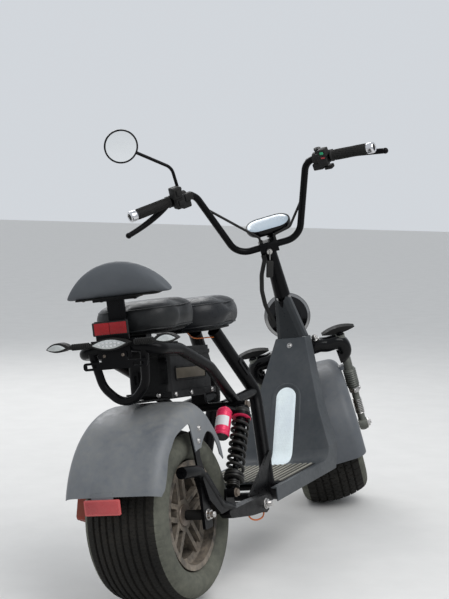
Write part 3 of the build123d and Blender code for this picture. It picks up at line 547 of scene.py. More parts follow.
def ribbed(y, phase, across_turn, rib=20, groove_half=3.6, cut_half=1.9):
    """Straight grooves with fine cuts between them."""
    groove = max(step_down(abs(y - centre), groove_half, 1.4) for centre in range(-70, 71, rib))
    shift = 0.5 if int((y + 200) // rib) % 2 else 0.0
    cut = abs((phase + shift) % 1.0 - 0.5) * across_turn
    return max(groove * tread_depth, 1.0 * step_down(cut, cut_half, 0.9))


def blocky(y, phase, across_turn, wide=25, sway=3.5, groove_half=3.4, cut_half=2.9):
    """Blocks between winding grooves."""
    wave = sway * sin(2 * pi * phase)
    groove = max(step_down(abs(y - centre - copysign(wave, centre)), groove_half, 1.6) for centre in (-62,
        -38, -13, 13, 38, 62))
    shift = 0.5 if int((y + 200) // wide) % 2 and abs(y) < 62 else 0.0
    cut = abs((phase + shift) % 1.0 - 0.5) * across_turn
    return tread_depth * max(groove, step_down(cut, cut_half, 1.4))


def make_tyre(name, place, body, node, pattern, cells, steps):
    edge = crown_height(crown_half)
    side = [(y, edge - drop, max(0.0, 1 - drop / 20)) for y, drop in side_profile]
    crown = [(y, crown_height(y), 1.0) for y in range(-crown_half, crown_half + 1, 2)]
    profile = [(-y, r, share) for y, r, share in reversed(side)] + crown + side
    across_turn = 2 * pi * tyre_radius / cells
    rows = []
    for cell in range(cells):
        for phase in steps:
            t = 2 * pi * (cell + phase) / cells
            row = []
            for y, r, share in profile:
                depth = r - (share * pattern(y, phase, across_turn) if share else 0)
                row.append((depth * sin(t), y, depth * cos(t)))
            rows.append(row)
    add(name, grid(rows, close_u=True), place, "tyre", body, "tyre_black", angle=35, hides=(node,),
        second=("sidewall", lambda middle: abs(middle.y) > crown_half + 6))


fine_steps = (0, 0.05, 0.10, 0.40, 0.45, 0.55, 0.60, 0.90, 0.95)
even_steps = tuple(k / 12 for k in range(12))
make_tyre("rear_tyre_tread", rear_wheel, "rear_wheel", "rear_tyre", ribbed, 72, fine_steps)
make_tyre("front_tyre_tread", front_wheel, "front_wheel", "front_tyre", blocky, 44, even_steps)


# Fenders


def fender_form(radius, skirt, half, edge, start, sweep, wall=3, crown=3):
    """A shell round the Y axis, whose section has rounded shoulders and a low crown."""
    def section(grow):
        middle_y, middle_r = half - edge, radius - crown - edge
        arc = [radians(a) for a in range(0, 91, 10)]
        side = [(middle_y + (edge - grow) * cos(a), middle_r + (edge - grow) * sin(a)) for a in arc]
        side = [(half - grow, skirt - (2 if grow else 0)), (half - grow, (skirt + middle_r) / 2)] + side
        top = [(y, radius - grow - crown * (y / middle_y)**2) for y in (75, 50, 25)]
        return side + top + [(0, radius - grow)] + [(-y, r) for y, r in reversed(side + top)]

    loop = section(0) + section(wall)[::-1]
    rows = []
    steps = int(sweep / 2)
    for i in range(steps + 1):
        a = radians(start + sweep * i / steps)
        rows.append([(r * cos(a), y, r * sin(a)) for y, r in loop])
    return skin(rows)


def across(points, low=-200, high=200, edge=0.0):
    """A plate drawn from the side, as X and Z."""
    verts, faces = prism(points, low, high, edge)
    return [(v[0], v[2], v[1]) for v in verts], faces


def behind(points, low, high, edge=0.0):
    """A plate drawn from behind, as Y and Z."""
    verts, faces = prism(points, low, high, edge)
    return [(v[2], v[0], v[1]) for v in verts], faces


fender_edge_width = 0.0009
rear_form, rear_faces = fender_form(radius=280, skirt=160, half=138, edge=44, start=40, sweep=121)
rear_fender_x, rear_fender_z = 15, 235
rear_form = [(x + rear_fender_x, y, z + rear_fender_z) for x, y, z in rear_form]
rear_fender = fixed("rear_fender_shell", (rear_form, rear_faces), "fender", "paint_black",
    hides=("rear_fender",))
front_end = [(25, 560), (25, 500), (62, 464), (97, 426), (121, 392), (132, 340), (132, 200), (420, 200),
    (420, 560)]
rear_window = [(-234, 200), (-234, 305), (-222, 322), (-211, 330), (-197, 354), (-172, 402), (-121, 446),
    (-62, 462), (-46, 464), (-41, 450), (-29, 402), (-15, 341), (-10, 200)]
front_window = [(26, 200), (26, 325), (6, 372), (8, 400), (50, 433), (84, 418), (106, 380), (118, 340),
    (118, 200)]
fender_foot = [(-20, 190), (60, 190), (60, 357), (-20, 357)]
cut_away(rear_fender, [across(rounded(front_end, 90)), across(rounded(rear_window, 90, 5)),
    across(rounded(front_window, 40)), across(fender_foot, -210, 210)], upright)

front_form = fender_form(radius=247, skirt=196, half=125, edge=38, start=38, sweep=161)
front_fender_place = front_wheel @ tipped(rake)
front_fender = steered("front_fender_shell", front_form, "front_fender", "paint_black", front_fender_place,
    hides=("front_fender",))
for fender in (rear_fender, front_fender):
    lip = fender.modifiers.new("lip", "BEVEL")
    lip.width = fender_edge_width
    lip.segments = 2
    lip.limit_method = "ANGLE"
    lip.angle_limit = radians(60)
stays = here(block((24, 116, 218), (44, 134.7, 232), 2))
steered("front_fender_stays", pair(stays), "front_fender", "paint_black")
fixed("reflector_tab", block((-248.9, -14, 285), (-246, 46, 336), 0.6), "fender", "paint_black")


# Saddles and backrest: closed forms remeshed, puffed out as cloth and smoothed

cushion_voxel = 0.005
smooth_rounds = 6

def plan(length, width, corner, steps=10):
    """A rectangle with round corners, about the origin."""
    points = []
    for k, (sx, sy) in enumerate(((1, 1), (-1, 1), (-1, -1), (1, -1))):
        for i in range(steps + 1):
            a = radians(90 * k + 90 * i / steps)
            points.append((sx * (length / 2 - corner) + corner * cos(a), sy * (width / 2 - corner) + corner
                * sin(a)))
    return points


def stacked(length, width, corner, profile, steps=10):
    """Levels of one plan, moved in by (inset, height) pairs."""
    rows = [[(x, y, z) for x, y in plan(length - 2 * i, width - 2 * i, max(corner - i, 0.5), steps)] for i,
        z in profile]
    return skin(rows)


def swell(piece, place, cap, pressure=4, frames=20):
    """Puffs a closed piece out as cloth under pressure, each point at most by cap metres."""
    scene = bpy.context.scene
    start = [v.co.copy() for v in piece.data.vertices]
    cloth = piece.modifiers.new("cloth", "CLOTH")
    cloth.settings.use_pressure = True
    cloth.settings.uniform_pressure_force = pressure
    cloth.settings.effector_weights.gravity = 0
    for number in range(1, frames + 1):
        scene.frame_set(number)
    graph = bpy.context.evaluated_depsgraph_get()
    ends = [v.co.copy() for v in piece.evaluated_get(graph).data.vertices]
    piece.modifiers.remove(cloth)
    scene.frame_set(1)
    inverse = place.inverted()
    for v, a, b in zip(piece.data.vertices, start, ends):
        step = b - a
        if step.length > cap:
            step *= cap / step.length
        local = inverse @ (a + step)
        local.z = max(local.z, 0)
        v.co = place @ local


def eased(piece, rounds):
    """Takes the small creases out of a swollen surface."""
    bm = bmesh.new()
    bm.from_mesh(piece.data)
    for _ in range(rounds):
        bmesh.ops.smooth_vert(bm, verts=bm.verts[:], factor=0.5, use_axis_x=True, use_axis_y=True,
            use_axis_z=True)
    bm.to_mesh(piece.data)
    bm.free()


def cushion(name, form, place, key, node, cap):
    piece = fixed(name, form, key, "seat_leather", place, hides=(node,))
    remesh = piece.modifiers.new("remesh", "REMESH")
    remesh.mode = "VOXEL"
    remesh.voxel_size = cushion_voxel
    flattened(piece)
    swell(piece, place, cap)
    eased(piece, smooth_rounds)
    for polygon in piece.data.polygons:
        polygon.use_smooth = True
    smooth = piece.modifiers.new("smooth", "SUBSURF")
    smooth.levels = smooth.render_levels = 1
    return piece


def piping(name, piece, ring, place, radius, key, lift=0.35):
    """A sewn cord that follows the piece's surface along a ring."""
    bpy.context.view_layer.update()
    tree = BVHTree.FromObject(piece, bpy.context.evaluated_depsgraph_get())
    inverse = place.inverted()
    points = []
    for p in ring:
        spot, normal, _, _ = tree.find_nearest(place @ Vector(p))
        points.append(inverse @ (spot + normal * radius * lift * 0.001))
    fixed(name, tube(points, radius, 8, closed=True), key, "seat_leather", place)


saddles = (
    # name, length, width, corner, place, material, (inset, height) pairs, the seam's height and inset
    ("passenger", 262, 230, 100, (56, 0, 698), "leather", [(60, 0), (16, 0), (8, 3), (3, 12), (1, 26),
        (1, 44), (3, 56), (9, 66), (20, 71), (60, 74)], 62, 6),
    ("driver", 250, 244, 98, (326, 0, 677), "sheen_leather", [(60, 0), (20, 0), (10, 4), (4, 14), (1, 30),
        (1, 50), (4, 63), (11, 73), (24, 78), (62, 81)], 69, 7))
for name, length, width, corner, spot, key, profile, seam_z, seam_in in saddles:
    place = upright @ at(*spot)
    pad = cushion(name + "_saddle_cover", stacked(length, width, corner, profile), place, key,
        name + "_saddle", 0.006)
    for suffix, height, inset, radius in (("seam", seam_z, seam_in, 1.5), ("hem", 5, 6, 2.0)):
        ring = [(x, y, height) for x, y in plan(length - 2 * inset, width - 2 * inset, corner - inset)]
        piping(f"{name}_saddle_{suffix}", pad, ring, place, radius, key)
    plate = stacked(length - 60, width - 60, corner - 30, [(0, -4), (0, 1)])
    fixed(name + "_saddle_base", plate, "rubber", "seat_leather", place)

pad_place = upright @ at(-101, 0, 795) @ tipped(-8)
arch_half, arch_height, pad_depth, pad_x = 151, 88, 54, 29
arch_radius = (arch_half**2 + arch_height**2) / (2 * arch_height)


def pad_top(y):
    return sqrt(arch_radius**2 - y * y) - arch_radius + arch_height


def signed_power(value, power):
    return copysign(abs(value)**power, value)


def pad_section(y, count=36):
    tall = max(pad_top(y), 2.5)
    deep = pad_depth * (0.32 + 0.68 * sqrt(max(0, 1 - (y / 156)**2)))
    row = []
    for i in range(count):
        t = 2 * pi * i / count
        lower = sin(t) < 0
        x = pad_x + deep / 2 * signed_power(cos(t), 0.85)
        z = tall / 2 + tall / 2 * signed_power(sin(t), 0.3 if lower else 0.95)
        row.append((x, y, z))
    return row


pad_rows = [pad_section(arch_half * sin(pi / 2 * (i / 24 - 1))) for i in range(49)]
backrest = cushion("backrest_cover", skin(pad_rows), pad_place, "matt_leather", "backrest_pad", 0.004)
pad_seam = [(46, y, pad_top(y) - 5) for y in (arch_half * 0.97 * sin(pi / 2 * (i / 24 - 1))
    for i in range(49))]
pad_seam += [(46, y, 1) for y in range(int(arch_half * 0.95), -int(arch_half * 0.95), -8)]
piping("backrest_seam", backrest, pad_seam, pad_place, 1.3, "matt_leather")
fixed("backrest_board", prism(rounded([(8, -120), (8, 120), (48, 120), (48, -120)], 12), -1.5, 1.5, 0.5),
    "rubber", "seat_leather", pad_place)
screws = [(bolt(0.7), at(x, y, -1.5, (0, 0, -1))) for x, y in ((16, 96), (16, -70), (40, 88), (40, -88))]
screws += [(bolt(1.1), at(22, y, -6, (0, 0, -1))) for y in (-48, 48)]
fixed("backrest_screws", screws, "dull_steel", "axle_steel", pad_place)


# Edges of the carried-over parts, softened a little

edge_widths = {"footboard_shroud": 0.0015, "head_cover": 0.003, "battery_box": 0.0015,
    "backrest_post": 0.001, "swing_arm": 0.002, "rear_caliper": 0.002, "front_caliper": 0.002,
    "bar_clamp": 0.0015}
for node, width in edge_widths.items():
    weld = nodes[node].modifiers.new("weld", "WELD")
    weld.merge_threshold = 0.00001
    soft = nodes[node].modifiers.new("soft_edges", "BEVEL")
    soft.width = width
    soft.segments = 2
    soft.limit_method = "ANGLE"
    soft.angle_limit = radians(35)


# Tail: lamp, indicators, reflectors

tail_x = -132
lamp_z = 685


def leaf(start, length, up, down, steps=14):
    """A leaf-shaped outline along X with unequal curves above and below."""
    top = [(start + length * k / steps, up * 4 * k / steps * (1 - k / steps)) for k in range(steps + 1)]
    low = [(start + length * k / steps, -down * 4 * k / steps * (1 - k / steps)) for k in range(steps - 1,
        0, -1)]
    return top + low


def lens_dome(outline, height):
    """A shallow dome over an outline in X and Y."""
    cx = sum(p[0] for p in outline) / len(outline)
    cy = sum(p[1] for p in outline) / len(outline)
    levels = ((1, -1.5), (1, 0), (0.96, 0.55), (0.86, 0.85), (0.6, 0.97), (0.3, 1), (0.02, 1))
    rows = [[(cx + (x - cx) * s, cy + (y - cy) * s, max(z, 0) * height - (1.5 if z < 0 else 0)) for x,
        y in outline] for s, z in levels]
    return skin(rows)


def facing(side, x, z):
    """A place whose X is left, Y up and Z to the front (1) or the rear (-1)."""
    return at(x, 0, z) @ axes(to_left, (0, 0, 1), (side, 0, 0))


tail_lens = lens_dome(leaf(-48, 96, 11.5, 11.5), 3.5)
fixed("tail_light_lens", tail_lens, "clear_lens", "lamp_clear", upright @ facing(-1, tail_x - 22, lamp_z))
facets = here(*(block((x - 3.6, y - 2.6, 2.6), (x + 3.6, y + 2.6, 4.6), 1.2) for x, y in ((-30, 1.5),
    (-19, -3), (-19, 4), (-8, -4), (-8, 4), (3, -4), (3, 4.5), (14, -3.5), (14, 4), (26, 1))))
fixed("tail_light_facets", facets, "chrome", "lamp_clear", upright @ facing(-1, tail_x - 22, lamp_z))

indicator_x = tail_x - 16
side_lens = [(lens_dome(leaf(127, 54, 10.5, 5.5), 3.0), facing(-1, indicator_x, lamp_z))]
fixed("rear_indicator_lenses", pair(side_lens), "clear_lens", "lamp_clear")
rings = []
for k in range(9):
    ring = turned([(6, -1.8), (8.4, -1.2), (8.4, 1.2), (6, 1.8)], 16)
    rings.append((ring, at(tail_x - 5, 68 + 5.5 * k, lamp_z, to_left)))
fixed("rear_indicator_ribs", pair(rings), "rubber", "plastic_black")
front_lens = [(lens_dome(leaf(101, 98, 10, 6.5), 3.0), facing(1, 66, 353))]
steered("front_indicator_lenses", pair(front_lens), "clear_lens", "lamp_clear")

upper = behind(plan(98, 34, 3), -8, -0.3, 0.8)
lower = behind(plan(98, 38, 4), -5.6, 0, 0.8)
upper_place = upright @ at(tail_x, 0, 723)
lower_place = upright @ at(-249.3, 16, 302)
fixed("upper_reflector_frame", upper, "rubber", "plastic_black", upper_place, hides=("reflectors",))
fixed("lower_reflector_frame", lower, "red_rim", "lamp_red", lower_place)
panes = here(*(block((-9.4, low, -14.5), (-7.5, high, 14.5), 0.8) for low, high in ((-47, -0.6),
    (0.6, 43))))
fixed("upper_reflector_panes", panes, "red_lens", "lamp_red", upper_place)
fixed("lower_reflector_pane", block((-6.9, -44, -14.5), (-5.2, 44, 14.5), 0.8), "pale_red_lens", "lamp_red",
    lower_place)

post_bolts = [(bolt(), at(tail_x + 5, y, z, to_front)) for y in (-38, 38) for z in (684, 658)]
post_bolts += [(bolt(0.8), at(tail_x - 3.3, y, 656, to_rear)) for y in (-26, 26)]
fixed("tail_bolts", post_bolts, "dull_steel", "axle_steel")


# Battery box

box_place = upright @ at(159.6, 0, 578) @ tipped(4.5)
box_rear, box_side = -129, 60
lid_seam = [(x, y, 43.5) for x, y in plan(258 + 1, 121, 14)]
fixed("battery_lid_seal", tube(lid_seam, 1.6, 8, closed=True), "rubber", "crackle_black", box_place)
hook = [(box_rear - 6, -55, 36), (box_rear - 7, -55, 46), (box_rear - 7, -37, 46), (box_rear - 6, -37, 36)]
latch = here(block((box_rear - 5, -59, -28), (box_rear - 0.5, -33, 38), 1.6), block((box_rear - 9, -57, 8),
    (box_rear - 4, -35, 34), 1.8), tube(hook, 1.6, 8))
fixed("battery_latch", latch, "frame", "frame_black", box_place)
fixed("battery_panel", across(plan(172, 27, 3), -box_side - 1.2, -box_side + 1, 0.5), "panel",
    "crackle_black", box_place @ at(-2, 0, -4))
frame_lip = [(p[0], -box_side - 1.2, p[1]) for p in plan(180, 34, 5)]
fixed("battery_panel_rim", tube(frame_lip, 1.5, 8, closed=True), "box", "crackle_black", box_place @ at(-2,
    0, -4))
tray_bolts = [(bolt(1.2), at(x, -66, -57, to_right)) for x in (-112, -20, 108)]
tray_bolts += [(bolt(1.2), at(-134, y, -57, to_rear)) for y in (-29, 29)]
fixed("tray_bolts", pair(tray_bolts), "steel", "axle_steel", box_place)


# Rear fender fastenings, axle and pivot

fender_side = -138
fender_bolts = [(bolt(1.25), at(x, fender_side, z, to_right)) for x, z in ((6, 444), (-4, 413))]
fender_washers = [(washer(), at(x, fender_side + 0.6, z, to_right)) for x, z in ((6, 444), (-4, 413))]
fixed("rear_fender_bolts", pair(fender_bolts + fender_washers), "steel", "axle_steel")
dished = [(10.5, 0), (28, -3.5), (28.6, -2.2), (27, 0.5), (13, 4), (10.5, 4)]
fixed("axle_washer", turned(dished, 36), "dull_steel", "axle_steel", upright @ at(0, -73.5, axle_z,
    to_right))
spacer = [(12.3, 0), (13.2, 1), (13.2, 50), (12.3, 51)]
fixed("axle_spacer", turned(spacer, 24), "rubber", "axle_steel", upright @ at(0, -78, axle_z, to_right))
axle_face = -138
nuts = [(hexagon(13, 9.5), at(0, axle_face, axle_z, to_right)), (washer(1.8), at(0, axle_face + 0.4, axle_z,
    to_right)), (turned([(8, 0), (8, 13), (7, 14.5), (0, 14.5)]), at(0, axle_face - 5, axle_z, to_right))]
fixed("rear_axle_nuts", pair(nuts), "steel", "axle_steel")
threads = [(8.4 if k % 2 else 7.5, 8 + 1.1 * k) for k in range(12)]
pivot_x, pivot_y, pivot_z = 345, -149, 178
pivot_stud = [(8, 0)] + threads + [(0, 21.5)]
pivot_place = at(pivot_x, pivot_y, pivot_z, to_right)
pivot = [(hexagon(13.5, 8), pivot_place), (washer(1.9), at(pivot_x, pivot_y + 0.2, pivot_z, to_right)),
    (turned(pivot_stud), pivot_place)]
fixed("pivot_nuts", pair(pivot), "steel", "axle_steel")


# Shocks, drawn for the left side and mirrored

shock_top, shock_bottom = Vector((313, 130, 459)), Vector((138, 148, 252))
shock_axis = shock_top - shock_bottom
shock_length = shock_axis.length
shock_z = shock_axis.normalized()
shock_x = (Vector((0, 1, 0)) - shock_z * shock_z.y).normalized()
shock_place = at(*shock_bottom) @ axes(shock_x, shock_z.cross(shock_x), shock_z)
spring_low, spring_high, spring_turns = 50.5, shock_length - 48.5, 8
coil_radius, coil_wire = 21.5, 4.6
can_x, can_y = -36, 33
coil = []
for k in range(spring_turns * 20 + 1):
    share = k / (spring_turns * 20)
    a = 2 * pi * spring_turns * share
    coil.append(polar(coil_radius, a, spring_low + (spring_high - spring_low) * share))
fixed("shock_coils", pair([(tube(coil, coil_wire, 10), shock_place)]), "spring", "spring_black",
    hides=("shock_springs",))
collar = [(16, 0), (24, 0), (26.5, 2), (26.5, 6), (24, 8), (24, 10), (16, 10)]
tops = [(turned(collar, 30), shock_place @ at(0, 0, shock_length - 46)),
    (turned([(12, 0), (14, 1), (14, 5), (9, 6), (8.5, 9), (0, 9)], 18), shock_place @ at(can_x, can_y,
    shock_length - 35))]
fixed("shock_red_collars", pair(tops), "reservoir", "reservoir_red")
rings = [(turned([(15, 0), (25.5, 0), (27.5, 1.5), (27.5, 5), (25.5, 6.5), (15, 6.5)], 30),
    shock_place @ at(0, 0, z)) for z in (37, 45.5)]
rings += [(turned([(13, 0), (17.5, 0.8), (17.5, 3.4), (13, 4.2)], 24), shock_place @ at(0, 0, z))
    for z in (16, 21.5, 27)]
rings += [(turned([(14, 0), (21.5, 0), (23, 2), (23, 14), (20, 18), (14, 18)], 30), shock_place @ at(0, 0,
    shock_length - 36))]
fixed("shock_collars", pair(rings), "spring", "spring_black")
can = [(0, 0), (17, 0), (20.4, 3), (20.8, 5), (20.8, 8), (20.0, 9), (20.0, 11), (20.9, 12), (20.9, 68),
    (20.0, 69), (20.0, 71), (20.9, 72), (20.9, 78), (18.5, 82), (0, 82)]
can_place = shock_place @ at(can_x, can_y, shock_length - 117.3)
fixed("shock_cans", pair([(turned(can, 40), can_place)]), "reservoir", "reservoir_red",
    hides=("shock_reservoirs",))
label = grid([[polar(21.2, radians(a), z) for z in (26, 56)] for a in range(20, 221, 8)])
fixed("shock_labels", pair([(label, can_place)]), "label", "reservoir_red")
foot = [(turned([(0, -3), (16, -3), (18, 0), (18, 6), (14, 10), (0, 10)], 24), can_place)]
fixed("shock_can_feet", pair(foot), "spring", "spring_black")
eyes = []
for x, y, z in (tuple(shock_bottom), tuple(shock_top)):
    eyes.append((washer(1.5), at(x, y + 10.5, z, to_left)))
    eyes.append((hexagon(10, 7), at(x, y + 11.5, z, to_left)))
fixed("shock_bolts", pair(eyes), "dull_steel", "axle_steel")


# Footboard: strip, ribs, moulded arch and bolt

foot_x, foot_z = 853, 208
foot_run, foot_rise = 192, 372
foot_slope = atan2(foot_rise, foot_run)
bend = 55
bend_reach = bend / tan((pi - foot_slope) / 2)
strip_half = 33.5
strip_low, strip_high = -69, 242
stud_run, stud_side = 9.8, 8.6


def foot_point(s, lift):
    """A point of the footboard's surface at a distance along it from the bend's middle, and its height."""
    arc_half = bend * foot_slope / 2
    centre_x, centre_z = foot_x - bend_reach, foot_z + bend
    if s < -arc_half:
        return centre_x + s + arc_half, foot_z + lift
    if s > arc_half:
        start_x = foot_x + bend_reach * cos(foot_slope)
        start_z = foot_z + bend_reach * sin(foot_slope)
        rest = s - arc_half
        return (start_x + rest * cos(foot_slope) - lift * sin(foot_slope), start_z + rest * sin(foot_slope)
            + lift * cos(foot_slope))
    a = (s + arc_half) / bend
    return centre_x + (bend - lift) * sin(a), centre_z - (bend - lift) * cos(a)


def foot_place(s, y, lift):
    """A place on the footboard whose Z points away from it."""
    x, z = foot_point(s, lift)
    x_on, z_on = foot_point(s, lift + 1)
    return at(x, y, z, (x_on - x, 0, z_on - z))


def strip_reach(s):
    """Half the strip's width, which ends in a half circle."""
    into = max(0.0, s - (strip_high - strip_half))
    return sqrt(max(strip_half**2 - into**2, 1.0))


rows = []
for k in range(61):
    s = strip_low + (strip_high - strip_low) * (1 - (1 - k / 60)**1.6)
    half = strip_reach(s)
    row = []
    for share, lift in ((-1, 0.4), (-1, 1.5), (-0.97, 2.3), (-0.6, 2.4), (0, 2.4), (0.6, 2.4), (0.97, 2.3),
        (1, 1.5), (1, 0.4)):
        x, z = foot_point(s, lift)
        row.append((x, half * share, z))
    rows.append(row)
fixed("footboard_strip", skin(rows), "pad", "rubber_black", hides=("floor_mats",))
dots = []
stud = turned([(1.9, 0), (1.6, 0.7), (0, 0.9)], 8)
for k in range(30):
    s = strip_low + 6 + stud_run * k
    for j in range(-3, 4):
        y = stud_side * j + (stud_side / 2 if k % 2 else 0)
        if abs(y) < strip_reach(s) - 4:
            dots.append((stud, foot_place(s, y, 2.2)))
fixed("footboard_strip_studs", dots, "pad", "rubber_black", angle=60)

mat_rear, mat_front = 504, 780
base = block((mat_rear, -140, 208.3), (mat_front, 140, 209.6), 0.5)
fixed("footboard_mat", base, "rubber", "rubber_black")
rib_pitch, rib_half, rib_top = 17, 3.6, 212.4
ribs = here(*(block((mat_rear + 4, rib_pitch * k - rib_half - rib_pitch / 2, 209), (mat_front - 4,
    rib_pitch * k + rib_half - rib_pitch / 2, rib_top), 1.3) for k in range(-7, 9)))
fixed("footboard_ribs", ribs, "rib", "rubber_black")

arch_low, arch_middle, arch_wide = 95, 208, 47
arch = [(arch_low + (arch_middle - arch_low) * k / 8, -arch_wide - 3 * (1 - k / 8)) for k in range(9)]
for k in range(1, 18):
    a = pi * k / 18
    arch.append((arch_middle + arch_wide * sin(a), -arch_wide * cos(a)))
arch += [(s, -y) for s, y in reversed(arch[:9])]
rows = []
for k, (s, y) in enumerate(arch):
    rise = 3.2 * sin(pi * k / (len(arch) - 1))**0.5
    outward = Vector((s - arch_middle if s > arch_middle else 0, y)).normalized()
    row = []
    for off, lift in ((-9, 0.1), (-3, rise), (0, rise * 1.1 + 0.1), (1.6, rise * 0.8), (3.5, 0.1)):
        x, z = foot_point(s + outward.x * off, lift)
        row.append((x, y + outward.y * off, z))
    rows.append(row)
fixed("footboard_arch", grid(rows), "plastic", "paint_black", angle=60)
shroud_place = foot_place(388, 0, 0)
shroud_bolt = [(washer(1.15), shroud_place), (bolt(1.1), shroud_place)]
fixed("shroud_bolt", shroud_bolt, "steel", "axle_steel")


# Fork: crown casting, gaiters, bolts and axle ends

crown_path = rounded([(268, -153), (322, -153), (321, -100), (327, -76), (322, -30), (322, 30), (327, 76),
    (321, 100), (322, 153), (268, 153)], 38, 6)
crown_x, crown_wide, crown_tall = 35.5, 22.5, 20.5
crown_rows = []
for k, (s, y) in enumerate(crown_path):
    s_on, y_on = crown_path[min(k + 1, len(crown_path) - 1)]
    s_back, y_back = crown_path[max(k - 1, 0)]
    along = Vector((0, y_on - y_back, s_on - s_back)).normalized()
    over = along.cross(Vector((1, 0, 0)))
    row = []
    stout = 1 + 0.13 * max(0, min(1, (abs(y) - 50) / 40))
    for i in range(24):
        t = 2 * pi * i / 24
        wide = crown_wide * stout * signed_power(cos(t), 0.7)
        tall = crown_tall * stout * signed_power(sin(t), 0.8)
        row.append(Vector((crown_x + wide, y, s)) + over * tall)
    crown_rows.append(row)
crown_parts = here(skin(crown_rows), turned([(17.2, 306), (24, 306), (26, 308), (26, 337), (24, 339.5),
    (17.2, 339.5)], 36), block((4, -24, 307), (24, 24, 339), 3))
lamp_axis = Vector((cos(radians(rake)), 0, -sin(radians(rake))))
lamp_back = Vector((92, 0, 435)) - lamp_axis * 30.3
post_top = lamp_back - lamp_axis * 25
upright_post = [(post_top.x, 0, 320 + (post_top.z - 320) * k / 4) for k in range(5)]
lamp_arm = [post_top + (lamp_back - post_top) * k / 3 for k in range(4)]
crown_parts += here(tube(upright_post, 9, 16), tube(lamp_arm, 11, 16))
steered("fork_crown_casting", crown_parts, "gloss", "frame_black", hides=("fork_crown",))

fork_q, fork_y = 34, 150
cap_bolts = [(hexagon(9.5, 6), at(fork_q, fork_y, 343.5)), (washer(1.5), at(fork_q, fork_y, 342.6))]
steered("fork_cap_bolts", pair(cap_bolts), "gloss", "frame_black")
bellows = [(22.0 if k % 2 else 19.0, 150 + 3.9 * k) for k in range(17)]
gaiter = [(turned([(15.2, 146), (20, 146), (20, 150)] + bellows + [(18, 214), (15.2, 216)], 28),
    at(fork_q, fork_y, 0))]
steered("fork_gaiters", pair(gaiter), "fork", "frame_black")
low_spring = []
for k in range(9 * 16 + 1):
    a = 2 * pi * k / 16
    low_spring.append((fork_q + 13.8 * cos(a), fork_y + 13.8 * sin(a), 42 + 6.5 * k / 16))
low_collar = [(12.8, 126), (17, 127), (17.6, 130), (17.6, 143), (16, 146), (12.8, 146)]
fork_bolts = here(tube(low_spring, 1.9, 6)) + [(bolt(1.3), at(fork_q - 17, fork_y, 136, to_rear)),
    (bolt(1.3), at(fork_q, fork_y + 17, 136, to_left)), (turned(low_collar, 24), at(fork_q, fork_y, 0))]
steered("fork_fittings", pair(fork_bolts), "steel", "axle_steel")
fork_face = 164.2
axle_stud = [(7, 0), (7, 12.5), (6, 13.5), (0, 13.5)]
axle_end = at(fork_offset, fork_face, 0, to_left)
axle_ends = [(hexagon(13, 9), axle_end), (washer(1.9), at(fork_offset, fork_face - 0.1, 0, to_left)),
    (turned(axle_stud), axle_end)]
steered("front_axle_nuts", pair(axle_ends), "steel", "axle_steel")
lower_crown_nut = [(hexagon(12, 9), at(36, -66, 352)), (washer(1.6), at(36, -66, 350)),
    (turned([(7, 0), (7, 13), (6, 14), (0, 14)]), at(36, -66, 352))]
steered("crown_nut", lower_crown_nut, "steel", "axle_steel")


# Headlight

lamp_place = steering @ at(92, 0, 435) @ tipped(rake) @ at(0, 0, 0, to_front)
rim = [(71.6, 48), (71.9, 54), (73.5, 56.6), (76, 57), (77.8, 55), (78, 49), (76.1, 46), (76.1, 44)]
steered("headlight_rim", grid([[polar(r, a, z) for r, z in rim] for a in (2 * pi * k / 64
    for k in range(64))], close_u=True, close_v=True), "gloss", "plastic_black", lamp_place)
dome = [(71.5, 49)] + [(71.5 * cos(radians(a)), 51.5 + 6.5 * sin(radians(a))) for a in range(0, 90, 10)]
steered("headlight_lens_dome", turned(dome + [(0, 58)], 64), "lens", "lamp_glass", lamp_place,
    hides=("headlight_lens",))
bowl = [(r, -19 + 62 * (r / 70)**2) for r in (4, 12, 20, 28, 36, 44, 52, 60, 66, 70)]
rows = [[(r * cos(a) * (1 - 0.012 * (k % 2)), r * sin(a) * (1 - 0.012 * (k % 2)), z) for r, z in bowl]
    for k, a in ((k, 2 * pi * k / 48) for k in range(48))]
steered("headlight_reflector", grid(rows, close_u=True), "chrome", "mirror_silver", lamp_place, angle=20)
bulb = [(0, -19), (9, -19), (9, -8), (6, -6), (7, 4), (6.5, 12), (4, 16), (0, 17)]
steered("headlight_bulb", turned(bulb), "label", "lamp_glass", lamp_place)


# Handlebar: grips, caps, levers, switches, display and key

bar_end = Vector((-144, 380, 993))
bar_bend = Vector((-27, 182, 976))
bar_run = (bar_bend - bar_end).normalized()
grip_start = 17


def bar_lines(side):
    """The bar's end, its run inward and the way ahead of it, on the left (1) or the right (-1)."""
    run = Vector((bar_run.x, side * bar_run.y, bar_run.z))
    ahead = Vector((-bar_run.y, side * bar_run.x, 0)).normalized()
    return Vector((bar_end.x, side * bar_end.y, bar_end.z)), run, ahead


def bar_frame(side):
    """A place whose Z runs in along the bar from its end, X ahead and Y up, for either side."""
    origin, run, ahead = bar_lines(side)
    return at(*origin) @ axes(ahead, run.cross(ahead) * (1 if side < 0 else -1), run)


